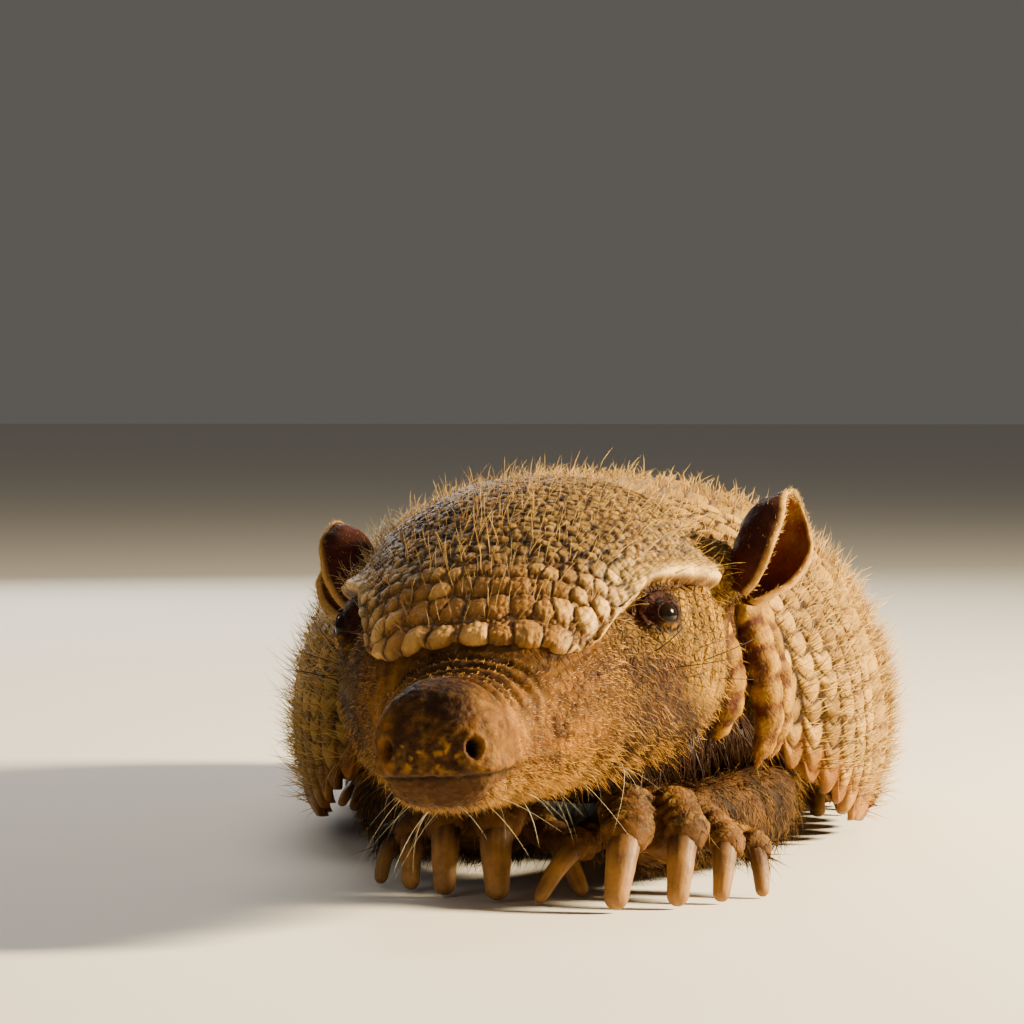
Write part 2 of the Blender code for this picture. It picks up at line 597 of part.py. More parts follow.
def build_legs(trunk, neck):
    for side, word in ((1, "left"), (-1, "right")):
        wrist, heading = ((LEFT_WRIST, LEFT_HEADING), (RIGHT_WRIST, RIGHT_HEADING))[side < 0]
        matrix = foot_matrix(wrist, heading, side)
        build_foot(f"forefoot_{word}", fore_palm(), FORE_HEART, FORE_TOES, FORE_TOE_RADII, matrix, 7)
        build_claws(f"forefoot_{word}", FORE_TOES, matrix, 8)
        end = matrix @ Vector((0.0, 2.0 + GAP, 11.5))
        nearer = matrix @ Vector((0.0, 7.0, 11.5))
        elbow, shoulder = Vector(FORE_ELBOW), Vector(FORE_SHOULDER)
        elbow.x, shoulder.x = elbow.x * side, shoulder.x * side
        path = (end, nearer, nearer.lerp(elbow, 0.55), elbow, shoulder)
        radii = (6.7, 6.9, 7.2, 7.8, 8.5)
        limb(f"foreleg_{word}", path, radii)
        room = limb(f"room_foreleg_{word}", path, radii, margin=GAP)
        combine(trunk, room, "DIFFERENCE")
        combine(neck, room, "DIFFERENCE")

        matrix = foot_matrix((HIND_HEEL[0] * side, HIND_HEEL[1]), HIND_HEADING, side)
        build_foot(f"hindfoot_{word}", hind_palm(), HIND_HEART, HIND_TOES, HIND_TOE_RADII, matrix, 6)
        build_claws(f"hindfoot_{word}", HIND_TOES, matrix, 6)
        combine(trunk, box_between(f"pocket_{word}", *HIND_POCKET, matrix), "DIFFERENCE")
        hip = Vector((HIND_HIP[0] * side, *HIND_HIP[1:]))
        path = (matrix @ Vector((0, -3.0, 16.7)), matrix @ Vector((0, -3.0, 22.0)), hip)
        radii = (5.0, 7.0, 11.0)
        limb(f"hindleg_{word}", path, radii)
        combine(trunk, limb(f"room_hindleg_{word}", path, radii, margin=GAP), "DIFFERENCE")


def main():
    for obj in list(bpy.data.objects):
        bpy.data.objects.remove(obj)
    build_shell()
    neck = build_neck()
    trunk = build_trunk()
    build_tail()
    build_ears(build_head())
    build_legs(trunk, neck)


main()
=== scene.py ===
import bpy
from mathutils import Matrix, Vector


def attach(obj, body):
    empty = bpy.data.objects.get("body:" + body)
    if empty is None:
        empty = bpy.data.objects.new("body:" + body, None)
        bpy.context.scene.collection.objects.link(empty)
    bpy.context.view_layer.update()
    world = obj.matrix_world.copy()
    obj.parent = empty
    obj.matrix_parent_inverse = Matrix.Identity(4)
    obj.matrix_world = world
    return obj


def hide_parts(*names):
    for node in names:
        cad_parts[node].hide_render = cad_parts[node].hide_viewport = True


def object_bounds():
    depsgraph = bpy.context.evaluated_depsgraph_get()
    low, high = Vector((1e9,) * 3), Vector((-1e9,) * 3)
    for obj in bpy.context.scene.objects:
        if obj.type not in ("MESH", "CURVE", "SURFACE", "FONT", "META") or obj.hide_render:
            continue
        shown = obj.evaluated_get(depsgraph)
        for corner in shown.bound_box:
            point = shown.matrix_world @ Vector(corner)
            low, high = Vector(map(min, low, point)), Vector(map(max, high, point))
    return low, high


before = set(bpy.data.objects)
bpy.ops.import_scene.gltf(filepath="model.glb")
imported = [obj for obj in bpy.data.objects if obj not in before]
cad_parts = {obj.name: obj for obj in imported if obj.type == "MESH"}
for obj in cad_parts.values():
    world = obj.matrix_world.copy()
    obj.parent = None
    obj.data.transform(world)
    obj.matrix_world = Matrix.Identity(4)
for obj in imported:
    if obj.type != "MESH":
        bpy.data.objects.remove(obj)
cadBox = [[float(v) for v in corner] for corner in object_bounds()]

import math
import time

import bpy
import numpy as np
from mathutils import Vector

# All lengths are millimetres in the CAD's frame: the animal faces -Y, its left is +X.
mm = 0.001
clock = time.time()

# sRGB colours
palette = {
    "scute": "#7a561a", "scuteDust": "#b88f40", "scuteDark": "#281505", "lobe": "#7c4a10",
    "crown": "#44290d", "crownDark": "#180d05", "frontScute": "#b27a30", "brow": "#ecc070",
    "face": "#381b08", "faceDark": "#1e0d04", "snout": "#8a5a18", "nose": "#2d190a", "lip": "#40270f",
    # socket: painted shade round the eye; foldDeep: painted shade in creases of the skin, and the dark joints
    # of the nape's scutes
    "socket": "#300f06", "lid": "#211006", "fold": "#98701c", "foldDeep": "#3f1c08",
    "earInner": "#6a340e", "earOuter": "#381408", "earRim": "#b98d48",
    "foot": "#6c4720", "footDark": "#1c1007", "belly": "#452d14", "tail": "#6c4a1e",
    "clawRoot": "#331c0e", "clawTip": "#966a32", "clawDirt": "#2b1b0b",
    "furRoot": "#2e1706", "furTip": "#d89c38", "whisker": "#f2e4ba", "darkWhisker": "#2a1a12",
    "bristle": "#dcb35a", "bristleRoot": "#7d5826",
    "pupil": "#0d0a0a", "iris": "#1a0f08", "eyeEdge": "#19120d",
    "floor": "#e6e1d8", "sky": "#f7f1e7",
    "keyLight": "#ffe7b8", "fillLight": "#fff6ea", "topLight": "#fff3e2", "backLight": "#fffcf6",
}


def srgb(name):
    # linear light: c / 12.92 in the dark, ((c + 0.055) / 1.055)^2.4 above 0.04045
    value = palette[name].lstrip("#")
    parts = np.array([int(value[i : i + 2], 16) / 255 for i in (0, 2, 4)])
    return np.where(parts <= 0.04045, parts / 12.92, ((parts + 0.055) / 1.055) ** 2.4)


def mix(one, two, share):
    # one + share (two - one), the share held between 0 and 1
    share = np.clip(np.asarray(share, float), 0, 1)[..., None]
    return one * (1 - share) + two * share


def ramp(value, low, high):
    # 0 under low, 1 over high, 3u^2 - 2u^3 between
    u = np.clip((np.asarray(value, float) - low) / (high - low), 0, 1)
    return u * u * (3 - 2 * u)


def bump(value, middle, width):
    # e to the power of -((value - middle) / width)^2
    return np.exp(-(((value - middle) / width) ** 2))


def hashed(*whole):
    # a fixed number from 0 to 1 for each set of whole numbers: a sum of products with primes, bits stirred
    total = np.zeros(np.broadcast(*whole).shape, np.int64)
    for value, prime in zip(whole, (374761393, 668265263, 1442695041, 974634777)):
        total = total + np.asarray(value, np.int64) * prime
    total = (total ^ (total >> 13)) * 1274126177
    return ((total ^ (total >> 16)) & 0xFFFFFF) / 0xFFFFFF


def cloud(points, size, seed=0):
    # smooth value noise from -1 to 1: random corners of a grid, blended by 3u^2 - 2u^3
    place = np.asarray(points, float) / size + 500.0
    cell = np.floor(place).astype(np.int64)
    u = place - cell
    u = u * u * (3 - 2 * u)
    total = 0.0
    for corner in range(8):
        step = np.array([corner & 1, corner >> 1 & 1, corner >> 2 & 1])
        weight = np.prod(np.where(step, u, 1 - u), axis=-1)
        q = cell + step
        total = total + weight * (2 * hashed(q[..., 0], q[..., 1], q[..., 2], seed) - 1)
    return total


def knobs(points, size, seed=0, stretch=(1, 1, 1)):
    # rounded cells: 1 in the middle of each, 0 at its edges, from the two nearest of jittered seeds
    place = points / (size * np.asarray(stretch, float)) + 300.0
    cell = np.floor(place).astype(np.int64)
    first = np.full(len(points), 9.0)
    second = first.copy()
    for offset in range(27):
        q = cell + np.array([offset % 3, offset // 3 % 3, offset // 9]) - 1
        jitter = np.stack([hashed(q[:, 0], q[:, 1], q[:, 2], seed + k) for k in range(3)], -1)
        gap = np.linalg.norm(place - q - 0.15 - 0.7 * jitter, axis=1)
        second = np.where(gap < first, first, np.minimum(second, gap))
        first = np.minimum(first, gap)
    return ramp(second - first, 0.0, 0.45)


def through(stations, column, at):
    # cubic Hermite curve through one column of a table, slopes from the neighbours
    table = np.asarray(stations, float)
    knots, values = table[:, 0], table[:, column]
    slopes = np.gradient(values, knots)
    at = np.asarray(at, float)
    i = np.clip(np.searchsorted(knots, at) - 1, 0, len(knots) - 2)
    span = knots[i + 1] - knots[i]
    u = (at - knots[i]) / span
    return (
        (2 * u**3 - 3 * u**2 + 1) * values[i]
        + (u**3 - 2 * u**2 + u) * span * slopes[i]
        + (3 * u**2 - 2 * u**3) * values[i + 1]
        + (u**3 - u**2) * span * slopes[i + 1]
    )


def hoop(turn, roundness):
    # superellipse |x|^n + |y|^n = 1 at an angle from the top: (sideways, upwards)
    sine, cosine = np.abs(np.sin(turn)), np.cos(turn)
    reach = (sine**roundness + np.abs(cosine) ** roundness) ** (-1 / roundness)
    return np.sign(np.sin(turn)) * sine * reach, cosine * reach


def wholeTurn(count):
    # equal angles round a full turn
    return np.linspace(0, 2 * np.pi, count, endpoint=False)


def roundedEnd(t, start, length, power, least):
    # sqrt(1 - ((t - start) / length)^power) from start on, 1 before it
    return np.sqrt(np.clip(1 - np.clip((t - start) / length, 0, 1) ** power, least, 1))


def squarish(u, w, power):
    # distance from the middle of a rounded square: (|u|^n + |w|^n)^(1/n)
    return (np.abs(u) ** power + np.abs(w) ** power) ** (1 / power)


def travelled(path, axis=0):
    # length of a path from its first point to each of its points
    step = np.linalg.norm(np.diff(path, axis=axis), axis=-1)
    return np.concatenate([0 * np.take(step, [0], axis), np.cumsum(step, axis)], axis)


def unit(vectors):
    # v / |v|
    return vectors / np.maximum(np.linalg.norm(vectors, axis=-1, keepdims=True), 1e-9)


def gridNormals(grid):
    # normal of a surface of two parameters: (d/dcolumn) x (d/drow)
    return unit(np.cross(np.gradient(grid, axis=1), np.gradient(grid, axis=0)))


def gridQuads(rows, columns, wrap=False, start=0):
    # each point of a grid joined to its neighbours: (r, c), (r, c+1), (r+1, c+1), (r+1, c)
    i = np.arange(rows * columns).reshape(rows, columns) + start
    j = np.roll(i, -1, 1) if wrap else i[:, 1:]
    i = i if wrap else i[:, :-1]
    return np.stack([i[:-1], j[:-1], j[1:], i[1:]], -1).reshape(-1, 4)


def makeObject(name, points, quads, tris=None, tint=None, floats=None, material=None, unwrap=None):
    # arrays put into a mesh as they are; the object stays at the origin
    quads = np.asarray(quads, np.int32).reshape(-1, 4)
    tris = np.zeros((0, 3), np.int32) if tris is None else np.asarray(tris, np.int32).reshape(-1, 3)
    mesh = bpy.data.meshes.new(name)
    mesh.vertices.add(len(points))
    mesh.vertices.foreach_set("co", (np.asarray(points) * mm).astype(np.float32).ravel())
    loops = np.concatenate([quads.ravel(), tris.ravel()]).astype(np.int32)
    starts = np.concatenate([np.arange(len(quads)) * 4, len(quads) * 4 + np.arange(len(tris)) * 3])
    mesh.loops.add(len(loops))
    mesh.loops.foreach_set("vertex_index", loops)
    mesh.polygons.add(len(starts))
    mesh.polygons.foreach_set("loop_start", starts.astype(np.int32))
    mesh.update(calc_edges=True)
    if unwrap is not None:
        layer = mesh.uv_layers.new(name="OFBake")
        layer.uv.foreach_set("vector", unwrap[loops].astype(np.float32).ravel())
    if tint is not None:
        colour = np.ones((len(points), 4), np.float32)
        colour[:, :3] = tint
        mesh.attributes.new("tint", "FLOAT_COLOR", "POINT").data.foreach_set("color", colour.ravel())
    for key, values in (floats or {}).items():
        layer = mesh.attributes.new(key, "FLOAT", "POINT")
        layer.data.foreach_set("value", np.asarray(values, np.float32).ravel())
    mesh.shade_smooth()
    obj = bpy.data.objects.new(name, mesh)
    bpy.context.scene.collection.objects.link(obj)
    if material:
        mesh.materials.append(material)
    return obj


def makePiece(name, part, tint, floats, material, slot, *nodes, unwrap=None):
    # a visible piece of the animal, on its one body, in place of the CAD nodes named
    obj = makeObject(name, *part, tint, floats, material, unwrap)
    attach(obj, "root")
    if nodes:
        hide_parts(*nodes)
    return obj


def stage(text):
    # one line for each stage done, with the seconds since the start
    print(f"{text}: {time.time() - clock:.1f} s")


# Materials

def addNode(tree, kind, values=None, **settings):
    # a node with its settings; a value that is a socket is linked in, any other is set
    node = tree.nodes.new(kind)
    for key, value in settings.items():
        setattr(node, key, value)
    for key, value in (values or {}).items():
        if isinstance(value, bpy.types.NodeSocket):
            tree.links.new(value, node.inputs[key])
        else:
            node.inputs[key].default_value = value
    return node


def newMaterial(name, **values):
    # a material with its tree and its shader, the shader's inputs set to the values given
    material = bpy.data.materials.new(name)
    material.use_nodes = True
    shader = material.node_tree.nodes["Principled BSDF"]
    for key, value in values.items():
        shader.inputs[key.replace("_", " ")].default_value = value
    return material, material.node_tree, shader


def tintedMaterial(name, roughness, mottle, bumps, dirt=None, **shaderValues):
    # colour = the mesh's own tint x (1 +- strength of noise), dusted by noise, darker in the gaps of cells;
    # mottle is (size in mm, strength), a bump is (kind, size in mm, depth in mm, attribute that masks it),
    # dirt is (size in mm, noise where it starts, noise where it is full, colour, attribute that masks it)
    material, tree, shader = newMaterial(name, **shaderValues)
    place = addNode(tree, "ShaderNodeTexCoord").outputs["Object"]

    def noise(size, detail, fineness):
        # soft noise about 0.5 in lumps of a size in mm
        values = {"Vector": place, "Scale": 1000 / size, "Detail": detail, "Roughness": fineness}
        return addNode(tree, "ShaderNodeTexNoise", values).outputs["Fac"]

    def cells(size):
        # distance from the edges of cells of a size in mm
        values = {"Vector": place, "Scale": 1000 / size}
        return addNode(tree, "ShaderNodeTexVoronoi", values, feature="DISTANCE_TO_EDGE").outputs["Distance"]

    def mapped(value, low, high, least=0.0, most=1.0):
        # straight line from (low, least) to (high, most)
        values = {"Value": value, "From Min": low, "From Max": high, "To Min": least, "To Max": most}
        return addNode(tree, "ShaderNodeMapRange", values).outputs[0]

    def masked(mask):
        # the mesh's own number at each vertex
        return addNode(tree, "ShaderNodeAttribute", attribute_name=mask).outputs["Fac"]

    def scaled(value, factor):
        # colour x factor
        return addNode(tree, "ShaderNodeVectorMath", {0: value, 3: factor}, operation="SCALE").outputs[0]

    def product(one, two):
        # one x two
        return addNode(tree, "ShaderNodeMath", {0: one, 1: two}, operation="MULTIPLY").outputs[0]

    colour = addNode(tree, "ShaderNodeAttribute", attribute_name="tint").outputs["Color"]
    for size, strength in mottle:
        colour = scaled(colour, mapped(noise(size, 4.0, 0.6), 0.3, 0.7, 1 - strength, 1 + strength))
    if dirt:
        size, low, high, dirtColour, mask = dirt
        share = product(mapped(noise(size, 6.0, 0.7), low, high, 0.0, 0.45), masked(mask))
        values = {0: share, 6: colour, 7: (*dirtColour, 1.0)}
        colour = addNode(tree, "ShaderNodeMix", values, data_type="RGBA").outputs[2]
    for kind, size, depth, mask in bumps:
        if kind == "cells":
            gap = mapped(cells(size), 0.0, 0.16, 0.42, 1.08)
            values = {0: masked(mask), 2: 1.0, 3: gap}
            colour = scaled(colour, addNode(tree, "ShaderNodeMix", values, data_type="FLOAT").outputs[0])
    tree.links.new(colour, shader.inputs["Base Color"])
    rough = mapped(noise(10 / 7, 3.0, 0.5), 0.3, 0.7, roughness - 0.12, roughness + 0.12)
    tree.links.new(rough, shader.inputs["Roughness"])
    normal = None
    for kind, size, depth, mask in bumps:
        height = noise(size, 5.0, 0.65) if kind == "noise" else mapped(cells(size), 0.0, 0.22)
        if mask:
            height = product(height, masked(mask))
        values = {"Height": height, "Strength": 1.0, "Distance": depth * mm}
        if normal:
            values["Normal"] = normal
        normal = addNode(tree, "ShaderNodeBump", values).outputs[0]
    if normal:
        tree.links.new(normal, shader.inputs["Normal"])
    return material


# horn over bone, dry and dusty: a broad dull sheen, a grain of about half a millimetre
scuteMaterial = tintedMaterial("scute_horn", 0.50, ((9.0, 0.16), (1.1, 0.16)),
                               (("noise", 0.45, 0.16, None), ("noise", 1.8, 0.24, None)),
                               (6.0, 0.50, 0.72, srgb("scuteDust"), "dusty"), Specular_IOR_Level=0.14)
# the same horn on the head, where it is rubbed to a dull polish
crownMaterial = tintedMaterial("polished_scute_horn", 0.42, ((9.0, 0.18), (1.1, 0.20)),
                               (("noise", 0.45, 0.12, None), ("noise", 1.8, 0.18, None)),
                               (6.0, 0.50, 0.72, srgb("scuteDust"), "dusty"), Specular_IOR_Level=0.20)
# dry skin, creased, with bare places of scales a millimetre wide and dark gaps between them
skinMaterial = tintedMaterial("armadillo_skin", 0.62, ((7.0, 0.22), (1.0, 0.24)),
                              (("noise", 0.45, 0.12, None), ("cells", 1.25, 0.26, "scaly"),
                               ("noise", 1.6, 0.20, None)),
                              (3.2, 0.50, 0.70, srgb("scuteDust"), "dusty"), Specular_IOR_Level=0.08,
                              Subsurface_Weight=0.03, Subsurface_Scale=0.0010)
# worn horn of the claws, stained with earth in its scratches
clawMaterial = tintedMaterial("claw_horn", 0.58, ((5.0, 0.16), (0.8, 0.10)),
                              (("noise", 0.7, 0.10, None), ("noise", 2.5, 0.12, None)),
                              (2.4, 0.50, 0.66, srgb("clawDirt"), "dusty"), Specular_IOR_Level=0.35)
# coarse hair: a weak, even gloss
hairMaterial = tintedMaterial("coarse_hair", 0.50, ((2.0, 0.06),), (), Specular_IOR_Level=0.14)
# dark brown eye under a thin film of water: glassy, with one small bright spot
eyeValues = {"Roughness": 0.15, "Specular IOR Level": 0.10, "Coat Weight": 0.02, "Coat Roughness": 0.03}
eyeMaterial, tree, shader = newMaterial("wet_eye", **eyeValues)
tint = addNode(tree, "ShaderNodeAttribute", attribute_name="tint").outputs["Color"]
tree.links.new(tint, shader.inputs["Base Color"])
stage("materials")


# Shell plates

shell = {
    # share of length, y, tilt, half width, hoop height, level, reach of the lower edge
    "stations": (
        (0.00, -63.0, -25.0, 39.0, 46.0, 24.0, 97.0),
        (0.13, -51.0, -17.0, 50.0, 47.5, 23.0, 108.0),
        (0.28, -31.0, -7.0, 57.0, 48.2, 22.5, 118.0),
        (0.45, 0.0, 0.0, 60.0, 49.0, 22.0, 121.0),
        (0.60, 28.0, 4.0, 60.0, 48.8, 22.0, 116.0),
        (0.72, 50.0, 13.0, 58.5, 47.5, 22.0, 107.0),
        (0.84, 69.0, 28.0, 53.0, 45.0, 22.0, 103.0),
        (0.93, 84.0, 48.0, 43.0, 38.0, 22.0, 98.0),
        (1.00, 93.0, 70.0, 27.0, 26.0, 21.0, 94.0),
    ),
    "roundness": 2.15,
    "skirtDrop": 24.0,    # how far the sides hang under the widest place
    "skirtTuck": 0.12,    # and how far they draw in, as a share of the half width
    "thick": 1.7,
    "bandThick": 1.4,
    "shoulderEnd": 0.27,
    "bandsEnd": 0.75,
    "bands": 7,
    "gap": 0.0022,        # share of length between two plates
    "lobe": 6.0,          # degrees that the scutes stand out along the lower edge
    "pitch": 5.0,         # width of a scute
    "relief": 0.52,       # height of a scute
    "rim": 1.1,           # radius of a plate's edges
    "hemHigh": (2.0, 11.0),  # distance from the lower edge over which its orange fades
}
# rise of a plate over the hoops, from its front edge (0) to its rear edge (1)
shieldLift = ([0.0, 1.0], [0.15, 0.55])
bandLift = ([-0.13, 0.0, 0.10, 0.4, 1.0], [-1.75, -1.5, -0.5, 0.1, 0.65])
rumpLift = ([0.0, 0.04, 1.0], [-0.9, 0.1, 0.2])
coatRoots = []      # (points, normals, backward directions) of the shell's hair roots


def shellPoint(share, turn, inward=0.0, bellyDrop=None):
    # hoop that leans by tilt: x = W side, (y, z) = middle + rise (sin tilt, cos tilt);
    # past 90 degrees it hangs straight down as a skirt, or closes under a belly when bellyDrop is given
    y, tilt, wide, tall, level = (through(shell["stations"], c, share) for c in range(1, 6))
    side, up = hoop(turn, shell["roundness"])
    if bellyDrop is None:
        hang = np.maximum(np.degrees(np.abs(turn)) - 90, 0) / 40
        side = np.where(hang > 0, np.sign(turn) * (1 - shell["skirtTuck"] * hang**2), side)
        rise = np.where(hang > 0, -shell["skirtDrop"] * hang, (tall - inward) * up)
    else:
        rise = np.where(up > 0, (tall - inward) * up, (level + bellyDrop) * up)
    lean = np.radians(tilt)
    place = ((wide - inward) * side, y + rise * np.sin(lean), level + rise * np.cos(lean))
    return np.stack(np.broadcast_arrays(*place), -1)


def plateBody(name, node, grid, rise, thickness, tint, dusty, flip=False, material=scuteMaterial):
    # outer side: grid + rise x normal; inner side: three rows at grid - thickness x normal; edges closed
    rows, columns = grid.shape[:2]
    normal = gridNormals(grid) * (-1 if flip else 1)
    outer = grid + normal * rise[..., None]
    keep = np.array([rows - 1, rows // 2, 0])
    inner = grid[keep] - normal[keep] * np.broadcast_to(thickness, 3)[:, None, None]
    points = np.concatenate([outer.reshape(-1, 3), inner.reshape(-1, 3)])
    base = rows * columns
    quads = [gridQuads(rows, columns), gridQuads(3, columns, start=base)]
    top = np.arange(base).reshape(rows, columns)
    low = np.arange(3 * columns).reshape(3, columns) + base
    for edge, under in ((top[-1], low[0]), (low[2], top[0])):
        quads.append(np.stack([edge[:-1], edge[1:], under[1:], under[:-1]], -1))
    quads = np.concatenate(quads)
    # each side edge of many rows is fanned to its three inner points
    tris = []
    for column, order in ((0, 1), (columns - 1, -1)):
        chain = [low[2, column], low[1, column], low[0, column]]
        place = np.round(np.linspace(0, 2, rows)).astype(int)
        for r in range(rows - 1):
            tris.append((top[r, column], top[r + 1, column], chain[place[r]])[::order])
            if place[r + 1] != place[r]:
                tris.append((top[r + 1, column], chain[place[r + 1]], chain[place[r]])[::order])
    tris = np.array(tris)
    if flip:
        quads, tris = quads[:, ::-1], tris[:, ::-1]
    underTint = np.repeat(srgb("scuteDark")[None], 3 * columns, 0) * 0.7
    allTint = np.concatenate([tint.reshape(-1, 3), underTint])
    allDusty = np.concatenate([dusty.ravel(), np.zeros(3 * columns)])
    makePiece(name, (points, quads, tris), allTint, {"dusty": allDusty}, material, "scute", node)
    return outer, normal


def rimDrop(distance, radius):
    # how far a rounded edge falls at a distance inside the edge: r - sqrt(r^2 - (r - d)^2)
    near = np.clip(radius - distance, 0, radius)
    return radius - np.sqrt(radius**2 - near**2)


def scuteCells(rowAt, across, lengths, pitch, wobble=0.05):
    # rows of scutes, every other row shifted by half, their ends bowed by wobble x u^2:
    # returns (u, w), each from -1 to 1 over a scute, and the numbers of its row and its place in the row
    def scuteAt(height):
        # the row at a height, and the place along it counted in scutes
        row = np.clip(np.floor(height), 0, len(lengths) - 1).astype(int)
        count = 2 * np.round(lengths[row] / pitch)
        return row, (across + 1) / 2 * count + 0.5 * (row % 2)

    at = scuteAt(rowAt)[1]
    u = 2 * (at - np.floor(at)) - 1
    shifted = rowAt + wobble * (u**2 - 0.35)
    row, at = scuteAt(shifted)
    cell = np.floor(at)
    return 2 * (at - cell) - 1, 2 * (shifted - row) - 1, row, cell.astype(int)


def shellTint(points, relief, tone, down, groove):
    # tan horn, darker in the furrows, orange along the lower edge, with pale patches of dust
    base = mix(srgb("scute"), srgb("scuteDust"), 0.25 + 0.6 * cloud(points, 13.0, 3) + 0.7 * (tone - 0.5))
    base = mix(base, srgb("scuteDark"), 0.92 * groove + 0.35 * (1 - tone) * (1 - relief))
    base = mix(base, srgb("lobe"), 0.95 * down * (0.85 + 0.4 * cloud(points, 5.0, 4)))
    return base * (0.76 + 0.36 * tone)[..., None]


def bandScutes(t, across, share, step, reach, seed):
    # one row of long scutes: flat bodies with two furrows, their rear ends rounded by 1 - u^2
    count = 2 * round(reach / shell["pitch"])
    at = (across + 1) / 2 * count
    cell = np.floor(at).astype(int)
    u, w, row = 2 * (at - cell) - 1, 2 * t - 1, np.full(t.shape, seed)
    shares = np.clip(share[:, None] + step * 0.06 * (1 - u**2) * ramp(t, 0.3, 1.0), 0, 1)
    body = 1 - ramp(np.abs(u), 0.66, 1.0)
    furrow = bump(np.abs(u), 0.50, 0.10) * ramp(t, 0.12, 0.25) * (1 - ramp(t, 0.80, 0.95))
    relief = body * (0.75 + 0.25 * ramp(t, 0.2, 0.9)) - 0.30 * furrow
    groove = np.maximum(ramp(np.abs(u), 0.76, 0.96), 0.45 * furrow)
    groove = np.maximum(groove, 0.75 * ramp(t, 0.93, 1.0) + 0.8 * (1 - ramp(t, 0.0, 0.10)))
    return u, w, row, cell, shares, relief, groove


def shieldScutes(t, across, share, scuteRows, lengths, seed):
    # rows of rounded squares q = (|u|^3.2 + |w|^3.2)^(1/3.2) with a boss in the middle of each
    spots = np.stack([across * 60, t * 40, np.full(t.shape, seed * 50.0)], -1)
    warp = 0.10 * cloud(spots, 9.0, seed)
    u, w, row, cell = scuteCells(t * scuteRows + warp, across, lengths, shell["pitch"])
    q = squarish(u, w, 3.2)
    boss = np.exp(-(u**2 / 0.12 + (w + 0.1) ** 2 / 0.30))
    body = 1 - ramp(q, 0.62, 1.0)
    relief = 0.72 * body + 0.34 * boss - 0.22 * bump(q, 0.62, 0.10)
    return u, w, row, cell, np.broadcast_to(share[:, None], t.shape), relief, ramp(q, 0.74, 0.95)


def shellPlate(name, node, start, end, rows, columns, scuteRows, lift, seed):
    # a plate from start to end of the shell's length; a band is one row of scutes, a shield has more
    isBand = scuteRows == 1
    t = np.linspace(bandLift[0][0] if isBand else 0.0, 1.0, rows)
    share = np.clip(start + (end - start) * t, 0, 1)
    reach = through(shell["stations"], 6, share)
    if isBand:
        reach = reach + 2.5 - 7.0 * np.abs(2 * np.clip(t, 0, 1) - 1) ** 3
    else:
        reach = reach - 2.0 + shell["lobe"] * (1 - np.abs(2 * ((t * scuteRows) % 1) - 1) ** 1.6)
    # columns at equal lengths along each hoop
    v = np.linspace(-1, 1, columns)
    turn = np.linspace(0, 1, 160)[None, :] * np.radians(reach)[:, None]
    line = shellPoint(share[:, None], turn)
    length = travelled(line, 1)
    angle = [np.sign(v) * np.interp(np.abs(v) * length[r, -1], length[r], turn[r]) for r in range(rows)]
    angle = np.stack(angle)
    across = np.broadcast_to(v, angle.shape)
    tt = np.broadcast_to(t[:, None], angle.shape)
    if isBand:
        scutes = bandScutes(tt, across, share, end - start, length[rows // 2, -1], seed)
    else:
        lengths = np.interp((np.arange(scuteRows) + 0.5) / scuteRows, t, length[:, -1])
        scutes = shieldScutes(tt, across, share, scuteRows, lengths, seed)
    u, w, row, cell, shares, relief, groove = scutes
    tone = hashed(row, cell, seed)
    grid = shellPoint(shares, angle)
    span = np.linalg.norm(grid[-1, columns // 2] - grid[0, columns // 2])
    edge = (1 - np.abs(across)) * length[:, -1][:, None]
    fine = 0.10 * cloud(grid, 1.6, seed) + 0.18 * cloud(grid, 7.0, seed + 9)
    rise = np.interp(tt, *lift) + shell["relief"] * relief * (0.8 + 0.4 * tone) - 0.30 + fine
    rise = rise - rimDrop((1 - tt) * span, shell["rim"]) - rimDrop(edge, shell["rim"])
    if not isBand:
        rise = rise - rimDrop(tt * span, shell["rim"])
    down = (1 - ramp(edge, *shell["hemHigh"])) * ramp(-grid[..., 2], -40, -20)
    tint = shellTint(grid, np.clip(relief, 0, 1), tone, down, groove)
    dusty = np.clip(0.35 + 0.65 * (1 - groove), 0, 1) * (1 - down)
    thickness = shell["bandThick"] if isBand else shell["thick"]
    outer, normal = plateBody(name, node, grid, rise, thickness, tint, dusty)
    back = unit(np.gradient(grid, axis=0))
    # hairs stand along the rear edges of the scutes, beside their middles
    hair = ((tt > 0.72) if isBand else (w > 0.55)) & (edge > 1.0) & (np.abs(u) > 0.25)
    coatRoots.append((outer[hair], normal[hair], back[hair]))


shellPlate("shoulder_plates", "shoulder_shield", 0.0, shell["shoulderEnd"], rows=96, columns=500, scuteRows=6,
           lift=shieldLift, seed=1)
bandEdges = np.linspace(shell["shoulderEnd"], shell["bandsEnd"], shell["bands"] + 1)
for number in range(shell["bands"]):
    start, end = bandEdges[number] + shell["gap"], bandEdges[number + 1]
    name, node = f"band_plates_{number + 1}", f"band_{number + 1}"
    shellPlate(name, node, start, end, rows=29, columns=500, scuteRows=1, lift=bandLift, seed=20 + number)
shellPlate("rump_plates", "rump_shield", shell["bandsEnd"] + shell["gap"], 1.0, rows=150, columns=480,
           scuteRows=10, lift=rumpLift, seed=40)
stage("shell plates")


# Flesh

